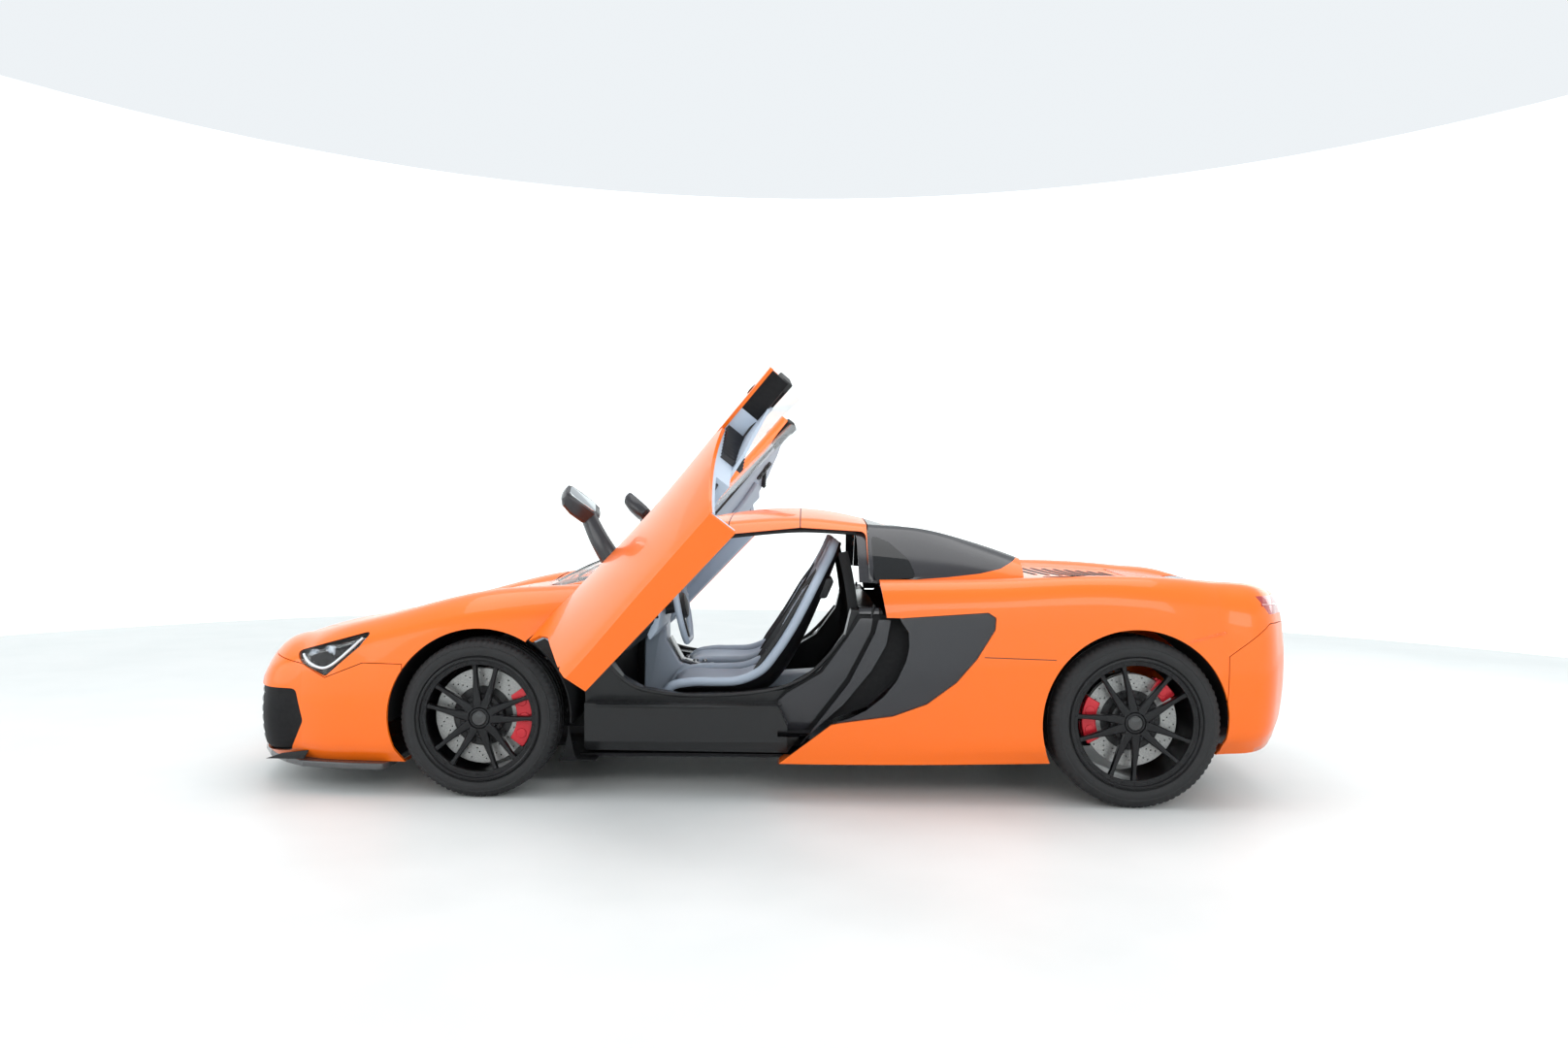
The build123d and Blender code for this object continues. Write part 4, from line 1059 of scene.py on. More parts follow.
    def rim_face(self) -> bpy.types.Object:
        """Spokes, hub and lugs.

        Returns:
            All of them as one piece.
        """
        face = self.face - self.y
        pieces = [self.spoke(self.phase + 72 * pair, lean) for pair in range(5) for lean in (-1, 1)]
        pieces.append(self.turned("hub", [
            (30, face - 32), (74, face - 32), (74, face - 14), (70, face - 9), (44, face - 8),
            (40, face - 4), (32, face - 3), (30, face - 6)], 60))
        pieces += [self.bolt(56, self.phase + 36 + 72 * i, face - 9, 8.5, 7) for i in range(5)]
        pieces += [self.bolt(self.rim - 23, 12 * i + 6, self.rim_width / 2 - 15, 3.4, 3) for i in range(30)]
        return joined(f"rim_spokes_{self.tag}", pieces)

    def cap(self) -> bpy.types.Object:
        """The plain round cap in the hub, with a turned ring.

        Returns:
            The cap.
        """
        face = self.face - self.y
        rings = []
        for r, w in ((29.5, face - 20), (29.5, face - 3), (28, face - 1.5), (25, face - 1.5),
                     (24, face - 2.5), (21, face - 2.2), (12, face - 0.6), (3, face)):
            rings.append(np.array([self.at(r, 7.5 * i, w) for i in range(48)]))
        return lofted(f"hub_cap_{self.tag}", rings)

    def disc(self) -> bpy.types.Object:
        """The vented, cross-drilled disc; its bolted hat is made by hat.

        Returns:
            The disc, without its hat.
        """
        plane = self.disc_plane - self.y
        body = self.turned("ring", [(124, plane - 16), (self.disc_radius - 1, plane - 16),
                                    (self.disc_radius, plane - 15), (self.disc_radius, plane - 5),
                                    (self.disc_radius - 9, plane - 4), (self.disc_radius - 9, plane + 4),
                                    (self.disc_radius, plane + 5), (self.disc_radius, plane + 15),
                                    (self.disc_radius - 1, plane + 16), (124, plane + 16)], 96)
        drills = []
        for radius, shift in ((137, 0), (151, 5), (165, 10), (179, 15)):
            for i in range(18):
                middle = self.at(radius, 20 * i + shift, 0)
                turns = np.linspace(0, 2 * np.pi, 8, endpoint=False)
                ends = [np.stack([middle[0] + 3.2 * np.cos(turns),
                                  np.full(8, self.side.value * (self.y + plane + w)),
                                  middle[2] + 3.2 * np.sin(turns)], 1) for w in (-25, 25)]
                drills.append(lofted("cutter_drill", ends))
        cutter = joined("cutter_drills", drills)
        boolean = body.modifiers.new("drill", "BOOLEAN")
        boolean.object, boolean.operation, boolean.solver = cutter, "DIFFERENCE", "MANIFOLD"
        applied(body)
        remove(cutter)
        return joined(f"disc_ring_{self.tag}", [body])

    def hat(self) -> bpy.types.Object:
        """The disc's black hat, which carries the wheel.

        Returns:
            The hat.
        """
        plane, end = self.disc_plane - self.y, self.face - self.y - 33
        pieces = [self.turned("hat", [(40, plane + 6), (40, end), (84, end), (90, end - 5),
                                      (93, plane + 10), (126, plane + 9), (128, plane + 4),
                                      (126, plane - 2), (96, plane - 3)], 72)]
        pieces += [self.bolt(113, 36 * i, plane + 9, 4.5, 4) for i in range(10)]
        return joined(f"disc_hat_{self.tag}", pieces)

    def arc_outline(self, inner: float, outer: float, low: float, high: float, steps: int = 12) -> Outline:
        """Side-view outline of a part of a ring round the axle, between two angles in degrees.

        Args:
            inner: The ring's inner radius.
            outer: Its outer radius.
            low: The first angle.
            high: The last angle.
            steps: How many points each arc has.

        Returns:
            The outline.
        """
        turns = np.radians(np.linspace(low, high, steps))
        ring = [(self.x + outer * math.cos(a), self.radius + outer * math.sin(a)) for a in turns]
        ring += [(self.x + inner * math.cos(a), self.radius + inner * math.sin(a)) for a in turns[::-1]]
        return ring

    def caliper(self, name: str, middle: float, span: float, pots: int,
                inner: float = 140) -> bpy.types.Object:
        """A caliper over the disc, with a swelling over each piston and a bridge.

        Args:
            name: The piece's name.
            middle: The angle of its middle, in degrees.
            span: The angle that it spans.
            pots: How many pistons it has.
            inner: Its inner radius.

        Returns:
            The caliper.
        """
        plane = self.side.value * self.disc_plane
        outer = self.disc_radius + 15
        pieces = []
        for sign in (-1, 1):
            low, high = sorted((plane + sign * 19, plane + sign * 42))
            pieces.append(bevelled(prism(rounded(self.arc_outline(inner + 6, outer, middle - span / 2,
                                                                  middle + span / 2), 14, 3), View.SIDE,
                                                                  low, high), 5, 3))
        low, high = plane - 21, plane + 21
        for i in range(3):
            at = middle + (i - 1) * span * 0.42
            bridge = self.arc_outline(self.disc_radius + 4, outer - 1, at - 4, at + 4, 4)
            pieces.append(bevelled(prism(bridge, View.SIDE, low, high), 2, 2))
        for i in range(pots):
            at = middle + (i - (pots - 1) / 2) * span / (pots + 0.3)
            centre = self.at((inner + outer) / 2 + 2, at, 0)
            face = self.disc_plane + 42
            turns = np.linspace(0, 2 * np.pi, 24, endpoint=False)
            rings = [np.stack([centre[0] + r * np.cos(turns), np.full(24, self.side.value * w),
                               centre[2] + r * np.sin(turns)], 1)
                     for r, w in ((23, face - 8), (22, face - 1), (19, face + 2), (9, face + 3))]
            pieces.append(lofted("pot", rings))
        return joined(name, pieces)

    def build(self) -> None:
        """Make the wheel and its brake."""
        tag, word = self.tag, self.side.word
        body = f"wheel_{tag}"
        place(self.tyre(), body, RUBBER, f"tyre_{tag}")
        place(self.barrel(), body, BLACK_ALLOY, f"rim_{tag}")
        place(self.rim_face(), body, BLACK_ALLOY, f"rim_{tag}")
        place(self.cap(), body, CAP, f"rim_{tag}")
        place(self.disc(), body, DISC, f"disc_{tag}")
        place(self.hat(), body, HAT, f"disc_{tag}")
        if self.axle is Axle.FRONT:
            place(self.caliper(f"brake_caliper_front_{word}", 0, 72, 3), f"knuckle_{word}", CALIPER,
                  f"caliper_front_{word}")
        else:
            place(self.caliper(f"brake_caliper_rear_{word}", 180, 58, 2), "chassis", CALIPER,
                  "rear_calipers")
            place(self.caliper(f"parking_caliper_{word}", 45, 26, 1), "chassis", CALIPER, "rear_calipers")


# ---------------------------------------------------------------- shared outlines, in millimetres
# panel gap, skin thickness, arch radii, distances from the middle of the car, and the door frame's foot
GAP = 5.0
PANEL = 14
FRONT_ARCH = 368
REAR_ARCH = 380
DOOR_ARCH = 408
ARCH_INNER = 552
DOOR_INNER = 787
DOOR_OUTER = 1200
DOOR_FOOT = 391
# how far below the outer skin each inner shell starts, and its thickness
UNDERSKIN = (14, 14)
SCOOP_DUCT = (118, 8)
DOOR_POST = (110, 7)
POST_STEP = (62, 30)
DOOR_FRAME = (14.3, 81)
DOOR_SILL = (14.3, 18)
DOOR_TRIM = (95.5, 12)
CORNER_GRILLE = (10, 10)
ROOF = 30
ROOF_GLASS = (0, 6)
ROOF_LINING = (14, 16)
FRONT_AXLE = (-1161.0, 323.5)
REAR_AXLE = (1509.0, 345.5)
BONNET_PLAN: Outline = [(-2080, -300), (-1750, -520), (-1040, -560), (-1010, -300), (-1010, 300),
                        (-1040, 560), (-1750, 520), (-2080, 300)]
COWL_PLAN: Outline = [(-1300, -575), (-1004, -572), (-700, -770), (-700, 770), (-1004, 572), (-1300, 575)]
HEADLAMP_SIDE: Outline = [(-1945, 575), (-1620, 668), (-1660, 610), (-1793, 488), (-1905, 535)]
BUMPER_SIDE: Outline = [(-2300, 60), (-2300, 640), (-2085, 640), (-2085, 560), (-1905, 530), (-1793, 480),
                        (-1640, 542), (-1473, 542), (-1473, 60)]
GRILLE_SIDE: Outline = [(-2300, 150), (-2300, 440), (-1925, 430), (-1890, 300), (-1960, 165)]
INTAKE_SIDE: Outline = [(548, 757), (908, 786), (940, 765), (936, 716), (862, 596), (780, 500), (664, 412),
                        (528, 360), (278, 322), (354, 346), (420, 380), (490, 437), (540, 500), (578, 580),
                        (592, 640), (588, 700)]
SCOOP_SIDE: Outline = [(150, 757), (560, 758), (604, 700), (608, 640), (592, 574), (552, 494), (500, 428),
                       (428, 370), (354, 336), (278, 320), (62, 150), (205, 700)]
TAIL_SIDE: Outline = [(2300, 60), (2300, 752), (2060, 752), (1884, 620), (1870, 60)]
TAIL_LAMP_SIDE: Outline = [(2010, 862), (2300, 862), (2300, 790), (2060, 790)]
CABIN_PLAN: Outline = [(-1000, -380), (-890, -640), (-720, -770), (434, -770), (1100, -640), (1100, 640),
                       (434, 770), (-720, 770), (-890, 640), (-1000, 380)]
DECK_PLAN: Outline = [(1110, -560), (1770, -600), (1770, 600), (1110, 560)]
AIRBRAKE_PLAN: Outline = [(1790, -640), (2160, -560), (2262, -300), (2262, 300), (2160, 560), (1790, 640)]
WINDOW_SIDE: Outline = [(-640, 700), (-560, 875), (-300, 1062), (-171, 1083), (142, 1116), (424, 1102),
                        (436, 700)]
QUARTER_SIDE: Outline = [(455, 900), (443, 1090), (520, 1060), (600, 990), (632, 915)]
SCREEN_PLAN: Outline = [(-1100, -480), (-900, -640), (-668, -738), (-474, -640), (-306, -548), (-262, -300),
                        (-255, 0), (-262, 300), (-306, 548), (-474, 640), (-668, 738), (-900, 640),
                        (-1100, 480)]
DOOR_SIDE: Outline = [(-970, 637), (-826, 762), (-643, 882), (-500, 878), (470, 886), (495, 752),
                      (150, 748), (205, 700), (62, 157), (-765, 157), (-793, 323), (-826, 475), (-890, 572)]


class DoorHinge:
    """The slanted hinge that turns each door from closed, as its pieces are made, to open, as it stands."""

    point = (-872.0, -898.0, 746.0)
    axis = (-0.754, -0.440, -0.487)
    degrees = 76.7

    @classmethod
    def opened(cls, side: Side) -> Matrix:
        """The turn from closed to open.

        Args:
            side: Which door.

        Returns:
            The matrix, in metres.
        """
        x, y, z = (v * MM for v in cls.point)
        ax, ay, az = cls.axis
        hand = side.value
        centre = Vector((x, -hand * y, z))
        turn = Matrix.Rotation(-hand * math.radians(cls.degrees), 4, Vector((ax, -hand * ay, az)))
        return Matrix.Translation(centre) @ turn @ Matrix.Translation(-centre)


def across(points: Outline, low: float = -1200.0, high: float = 1200.0) -> bpy.types.Object:
    """A side-view prism across the car, or part of the way."""
    return prism(points, View.SIDE, low, high)


@dataclass
class Body:
    """The painted panels that stay on the car: nose, wings, quarters, decks and tail."""

    hull: Shell
    seat: Shell
    duct: Shell
    post: Shell
    step: Shell

    def arches(self) -> list[bpy.types.Object]:
        """The drums that open the four wheel arches.

        Returns:
            Two drums a side.
        """
        drums = []
        for side in Side:
            ends = sorted((side.value * ARCH_INNER, side.value * DOOR_OUTER))
            drums.append(drum(*FRONT_AXLE, FRONT_ARCH, *ends))
            drums.append(drum(*REAR_AXLE, REAR_ARCH, *ends))
        return drums

    def build(self) -> None:
        """Cut every panel."""
        arches = self.arches()
        bonnet = prism(rounded(BONNET_PLAN, 60), View.PLAN, 500, 1000)
        bonnet_gap = prism(offset_outline(rounded(BONNET_PLAN, 60), GAP), View.PLAN, 500, 1000)
        cabin = prism(CABIN_PLAN, View.PLAN, 500, 1200)
        door_gap = across(rounded(offset_outline(DOOR_SIDE, GAP), 14))
        sides = across([(-2300, 132), (2300, 132), (2300, 1000), (-2300, 1000)])
        floor_gap = block(-1460, 1862, -785, 785, 0, 232)
        lamp = across(rounded(HEADLAMP_SIDE, 18))
        lamp_gap = across(offset_outline(rounded(HEADLAMP_SIDE, 18), 2.5))
        nose = across(BUMPER_SIDE)
        nose_gap = across(offset_outline(BUMPER_SIDE, 3))
        middle = block(-2300, -1000, -560, 560, 0, 1200)
        cowl = prism(COWL_PLAN, View.PLAN, 600, 1000)
        cowl_gap = prism(offset_outline(COWL_PLAN, 3), View.PLAN, 600, 1000)
        front = block(-2300, -690, -1000, 1000, 0, 1000)
        over_door = block(0, 475, -1000, 1000, 744, 1000)
        lining = block(20, 1090, -1000, 1000, 190, 885)
        rear = block(20, 2300, -1000, 1000, 0, 1000)
        place(self.hull.panel("bonnet_skin", [bonnet], []), "bonnet", ORANGE, "bonnet")
        common = [bonnet_gap, door_gap, cabin, floor_gap, *arches]
        grille_left = across(rounded(GRILLE_SIDE, 30), -1000, -330)
        grille_right = across(rounded(GRILLE_SIDE, 30), 330, 1000)
        slot_low = prism(rounded([(-300, 190), (300, 190), (300, 250), (-300, 250)], 18), View.END, -2300,
                         -2000)
        place(self.hull.panel("front_bumper_skin", [front, sides, nose],
                              [*common, lamp_gap, grille_left, grille_right, slot_low]),
              "chassis", ORANGE, "front_bumper")
        foot = block(-960, -690, -1000, 1000, 100, 470)
        place(self.hull.panel("front_wing_skins", [front, sides],
                              [*common, nose_gap, lamp_gap, cowl_gap, foot]),
              "chassis", ORANGE, "front_wings")
        place(self.hull.panel("front_wing_feet", [front, sides, foot], common), "chassis", BLACK_PLASTIC,
              "front_wings")
        place(self.hull.panel("cowl_panel", [cowl, front],
                              [bonnet_gap, door_gap, cabin, block(-1016, -984, -306, 306, 780, 1000)]),
                              "chassis", GLOSS_BLACK,
              "cowl")
        place(self.hull.panel("headlamp_covers", [lamp, front], [bonnet_gap, middle]), "chassis",
              LAMP_CLEAR, "headlamps")
        intake = across(rounded(INTAKE_SIDE, 12))
        scoop = across(SCOOP_SIDE)
        tail = across(TAIL_SIDE)
        tail_gap = across(offset_outline(TAIL_SIDE, 3))
        deck = prism(rounded(DECK_PLAN, 40), View.PLAN, 700, 1000)
        deck_gap = prism(offset_outline(rounded(DECK_PLAN, 40), 4), View.PLAN, 700, 1000)
        brake_gap = prism(offset_outline(AIRBRAKE_PLAN, 9), View.PLAN, 750, 1000)
        tail_lamp = across(TAIL_LAMP_SIDE)
        mouth = block(1900, 2300, -560, 560, 360, 700)
        common = [door_gap, cabin, floor_gap, *arches]
        place(self.hull.panel("rear_quarter_skins", [rear, sides],
                              [*common, intake, scoop, tail_gap, brake_gap, deck_gap, tail_lamp,
                               over_door]),
              "chassis", ORANGE, "rear_quarters")
        place(self.seat.panel("quarter_linings", [lining], [scoop,
                                                            across(offset_outline(rounded(INTAKE_SIDE, 12),
                4)), door_gap, floor_gap,
                               cabin, over_door, *arches]),
              "chassis", BLACK_PLASTIC)
        duct = across([(385, 758), (560, 758), (620, 640), (560, 500), (430, 380), (278, 322), (160, 262),
                       (60, 262), (60, 402), (95, 438), (236, 522), (342, 666)])
        place(self.duct.panel("scoop_duct", [duct], []), "chassis", BLACK_PLASTIC)
        foot = across([(392, 762), (392, 900), (474, 900), (474, 762)])
        place(self.duct.panel("post_feet", [foot], []), "chassis", GLOSS_BLACK)
        post = across([(396, 744), (346, 664), (240, 518), (98, 432), (60, 398), (60, 262), (162, 262),
                       (200, 311), (338, 494), (440, 690), (448, 744)])
        place(self.post.panel("door_posts", [post], []), "chassis", GLOSS_BLACK)
        step = across([(470, 744), (456, 690), (352, 486), (214, 303), (150, 222), (240, 315), (330, 398),
                       (440, 535), (500, 640), (520, 744)])
        place(self.step.panel("post_steps", [step], []), "chassis", GLOSS_BLACK)
        place(self.hull.panel("engine_cover", [deck], [cabin, brake_gap]), "chassis", ORANGE, "rear_deck")
        place(self.hull.panel("rear_bumper_skin", [rear, sides, tail],
                              [*common, brake_gap, mouth, block(1800, 2300, -700, 700, 0, 300)]),
              "chassis", ORANGE, "rear_bumper")
        place(self.hull.panel("tail_lamp_lenses", [tail_lamp, rear], [brake_gap]), "chassis", LAMP_RED,
              "tail_lamps")
        brake = prism(rounded(AIRBRAKE_PLAN, 25), View.PLAN, 780, 1000)
        place(self.hull.panel("airbrake_wing", [brake], []), "airbrake", SILVER, "airbrake")
        place(self.seat.panel("intake_blades", [intake], []), "chassis", GLOSS_BLACK, "side_intakes")


@dataclass
class Greenhouse:
    """Windscreen, its frame, the folding roof, the buttresses and the tonneau between them."""

    shell: Shell
    glass: Shell
    inner: Shell

    def build(self) -> None:
        """Cut every panel of the greenhouse."""
        plan = prism([(-1000, -380), (-890, -640), (-720, -768), (434, -768), (434, 768), (-720, 768),
                      (-890, 640), (-1000, 380)], View.PLAN, 780, 1300)
        lid = prism([(434, -764), (900, -758), (1086, -728), (1086, 728), (900, 758), (434, 764)],
                    View.PLAN, 880, 1300)
        window = across(rounded(WINDOW_SIDE, 30), -1000, -480)
        window_right = across(rounded(WINDOW_SIDE, 30), 480, 1000)
        quarter_left = across(rounded(QUARTER_SIDE, 20), -1000, -560)
        quarter_right = across(rounded(QUARTER_SIDE, 20), 560, 1000)
        screen = prism(SCREEN_PLAN, View.PLAN, 780, 1300)
        screen_gap = prism(offset_outline(SCREEN_PLAN, 2), View.PLAN, 780, 1300)
        front = block(-1100, -171, -1000, 1000, 780, 1300)
        roof_front = block(-166, 139, -1000, 1000, 780, 1300)
        roof_rear = block(144, 428, -1000, 1000, 780, 1300)
        for number, x in enumerate((-168.5, 141.5)):
            seam = block(x - 2.3, x + 2.3, -1000, 1000, 780, 1300)
            place(self.glass.panel(f"roof_seam_{number}", [seam], [window, window_right]), "chassis", SEAL)
        post = across([(384, 1098), (392, 892), (432.5, 892), (432.5, 1098)])
        place(self.inner.panel("door_post_covers", [post], [block(300, 500, -480, 480, 600, 1300)]),
              "chassis", GLOSS_BLACK)
        windows = [window, window_right]
        place(self.glass.panel("windscreen_glass", [plan, screen], []), "chassis", GLASS, "windscreen")
        place(self.shell.panel("windscreen_surround", [plan, front], [screen_gap, *windows]), "chassis",
              ORANGE, "windscreen_frame")
        place(self.shell.panel("roof_front_panel", [roof_front], windows), "chassis", ORANGE, "roof_panels")
        place(self.shell.panel("roof_rear_panel", [roof_rear], windows), "chassis", ORANGE, "roof_panels")
        middle = block(500, 1200, -430, 430, 700, 1300)
        quarters = [quarter_left, quarter_right]
        haunch = across([(560, 800), (560, 893), (636, 906), (760, 917), (900, 934), (989, 954),
                         (1050, 985), (1130, 1040), (1130, 800)])
        place(self.shell.panel("buttress_covers", [lid], [*quarters, middle, haunch]), "tonneau",
              GLOSS_BLACK, "buttresses")
        place(self.shell.panel("buttress_haunches", [lid, haunch], [*quarters, middle]), "tonneau", ORANGE,
              "buttresses")
        place(self.shell.panel("tonneau_panel", [lid, block(502, 1200, -428, 428, 700, 1300)], []),
              "tonneau", ORANGE, "tonneau")
        for side, cutter in zip(Side, quarters):
            place(self.glass.panel(f"quarter_glass_{side.word}", [cutter], []), "tonneau", DARK_GLASS,
                  "quarter_windows")


@dataclass
class Door:
    """One door: outer skin, inner structure, trim, glass and mirror, made closed and then swung open."""

    side: Side
    hull: Shell
    inner: Shell
    glass: Shell
    lower: Shell

    def swung(self, piece: bpy.types.Object, finish: Finish, *nodes: str) -> bpy.types.Object:
        """Swing a piece open and place it.

        Args:
            piece: The piece as it is with the door closed.
            finish: Its finish.
            nodes: The CAD nodes that it stands for, without the side.

        Returns:
            The piece.
        """
        piece.data.transform(DoorHinge.opened(self.side))
        return place(piece, f"door_{self.side.word}", finish,
                     *(f"{node}_{self.side.word}" for node in nodes))

    def build(self) -> None:
        """Make the door's pieces."""
        low, high = sorted((self.side.value * DOOR_INNER, self.side.value * DOOR_OUTER))
        word = self.side.word
        outline = across(rounded(DOOR_SIDE, 12), low, high)
        wheel = drum(*FRONT_AXLE, DOOR_ARCH, *sorted((self.side.value * ARCH_INNER, self.side.value * 905)))
        self.swung(self.hull.panel(f"door_skin_{word}", [outline], [wheel]), ORANGE, "door")
        structure = across(offset_outline(rounded(DOOR_SIDE, 12), -6), low, high)
        rear_end = block(300, 560, -1200, 1200, 0, 1200)
        foot = block(-1000, 560, -1200, 1200, 0, DOOR_FOOT)
        self.swung(self.inner.panel(f"door_frame_{word}", [structure], [wheel, rear_end, foot]), LEATHER,
                   "door")
        self.swung(self.lower.panel(f"door_sill_{word}", [structure, foot], [wheel]), LEATHER, "door")
        self.swung(self.inner.panel(f"door_edge_{word}", [structure, rear_end], []), BLACK_PLASTIC, "door")
        trim = across(rounded([(-630, 398), (-655, 640), (-590, 840), (372, 852), (362, 760), (318, 668),
                               (216, 534), (78, 452), (20, 398)], 16), low, high)
        inside = HullSkin(HULL_ROWS, PANEL).shell(*DOOR_TRIM)
        low, high = sorted((self.side.value * 500, self.side.value * 1200))
        self.swung(inside.panel(f"door_trim_panel_{word}", [trim], []), LEATHER, "door_trim")
        pane = across(rounded([(-548, 862), (-298, 1056), (-171, 1077), (142, 1110), (418, 1096),
                               (430, 886), (300, 872), (-300, 872)], 10), low, high)
        self.swung(self.glass.panel(f"door_pane_{word}", [pane], []), GLASS, "door_glass")


# ---------------------------------------------------------------- cabin
@dataclass
class Seat:
    """A one-piece bucket seat with three leather pads."""

    side: Side
    middle: float = 365.0
    # along the seat from the cushion's front edge to the headrest: x, z, half width, bolster rise
    line: tuple = ((-448, 352, 205, 18), (-425, 384, 222, 32), (-340, 398, 232, 48), (-220, 392, 236, 60),
                   (-110, 388, 238, 74), (-20, 412, 238, 96), (45, 480, 240, 110), (105, 580, 244, 104),
                   (158, 690, 246, 92), (205, 800, 238, 76), (240, 890, 196, 52), (268, 965, 152, 30),
                   (288, 1025, 128, 16), (296, 1056, 104, 6))

    def smooth_line(self, count: int) -> np.ndarray:
        """The seat's line with more points: x, z, half width, rise.

        Args:
            count: How many points.

        Returns:
            The points, one to a row.
        """
        rows = np.array(self.line, float)
        steps = np.concatenate([[0], np.cumsum(np.linalg.norm(np.diff(rows[:, :2], axis=0), axis=1))])
        return hermite(steps, rows, np.linspace(0, steps[-1], count))

    def skin(self, name: str, first: float, last: float, width: float, low: float, high: float,
             crown: float = 0.0, count: int = 30) -> bpy.types.Object:
        """A closed skin over part of the seat's line.

        Args:
            name: The piece's name.
            first: Where it starts, as a part of the line's length.
            last: Where it ends.
            width: Its width as a part of the seat's.
            low: Its lower face's height above the seat's line.
            high: Its upper face's height.
            crown: How much higher the upper face is in the middle.
            count: How many sections it has.

        Returns:
            The skin.
        """
        line = self.smooth_line(140)
        normal = np.stack([-np.gradient(line[:, 1]), np.gradient(line[:, 0])], 1)
        normal /= np.linalg.norm(normal, axis=1, keepdims=True)
        u = np.linspace(-1, 1, 15)
        rings = []
        for t in np.linspace(first, last, count):
            i = t * (len(line) - 1)
            k = min(int(i), len(line) - 2)
            row = line[k] * (1 - i + k) + line[k + 1] * (i - k)
            out = normal[k] * (1 - i + k) + normal[k + 1] * (i - k)
            end = min(1.0, (0.02 + min(t - first, last - t)) / 0.05) ** 0.5
            y = self.side.value * self.middle + u * row[2] * width * (0.82 + 0.18 * end)
            rise = row[3] * np.abs(u * width) ** 2.6
            top = rise + low + (high - low) * end + crown * end * (1 - u**2)
            bottom = rise + low
            upper = np.stack([row[0] + out[0] * top, y, row[1] + out[1] * top], 1)
            lower = np.stack([row[0] + out[0] * bottom, y, row[1] + out[1] * bottom], 1)
            rings.append(np.concatenate([upper, lower[::-1]]))
        return lofted(name, rings)

    def build(self) -> None:
        """Make the shell, the pads and the plinth."""
        word = self.side.word
        shell = self.skin(f"seat_shell_{word}", 0.0, 1.0, 1.0, -34, -12, count=60)
        place(bevelled(shell, 6, 2), "chassis", SHELL, "seat_shells")
        edge = self.smooth_line(40)
        for hand, sign in (("outer", -1), ("inner", 1)):
            points = [(x, self.side.value * self.middle + sign * w * 0.985, z + rise * 0.93 - 8)
                      for x, z, w, rise in edge]
            place(tube(f"seat_bolster_{hand}_{word}", points, 21, flat=0.8), "chassis", LEATHER,
                  "seat_shells")
        for name, first, last, width, crown in (("cushion", 0.03, 0.395, 0.86, 12),
                                                ("back", 0.425, 0.80, 0.86, 10),
                                                ("head", 0.845, 0.985, 0.80, 10)):
            pad = plumped(self.skin(f"seat_{name}_pad_{word}", first, last, width, -13, 12, crown), 7, 7)
            place(pad, "chassis", LEATHER, "seat_pads")
            seam = []
            line = self.smooth_line(60)
            for row in line[int(first * 60) + 3:int(last * 60) - 2]:
                seam.append(row)
            for hand, sign in (("a", -1), ("b", 1)):
                points = [(x - 0.5, self.side.value * self.middle + sign * w * width * 0.62,
                           z + 14 + rise * 0.2)
                          for x, z, w, rise in seam[::2]]
                if len(points) > 3 and name != "head":
                    place(tube(f"seat_{name}_seam_{hand}_{word}", points, 1.8), "chassis", SEAM,
                          "seat_pads")
        plinth = bevelled(prism([(-380, 206), (40, 206), (20, 352), (-400, 340)], View.SIDE,
                                *sorted((self.side.value * 200, self.side.value * 530))), 12, 3)
        plinth.name = f"seat_plinth_{word}"
        place(plinth, "chassis", SHELL, "seat_shells")
        slots = [bevelled(prism(rounded([(205, 800), (262, 800), (300, 890), (240, 890)], 18), View.SIDE,
                                *sorted((self.side.value * (self.middle + s * 62),
                                         self.side.value * (self.middle + s * 118)))), 6)
                 for s in (-1, 1)]
        for number, slot in enumerate(slots):
            slot.name = f"seat_belt_slot_{number}_{word}"
            place(slot, "chassis", SHELL, "seat_shells")


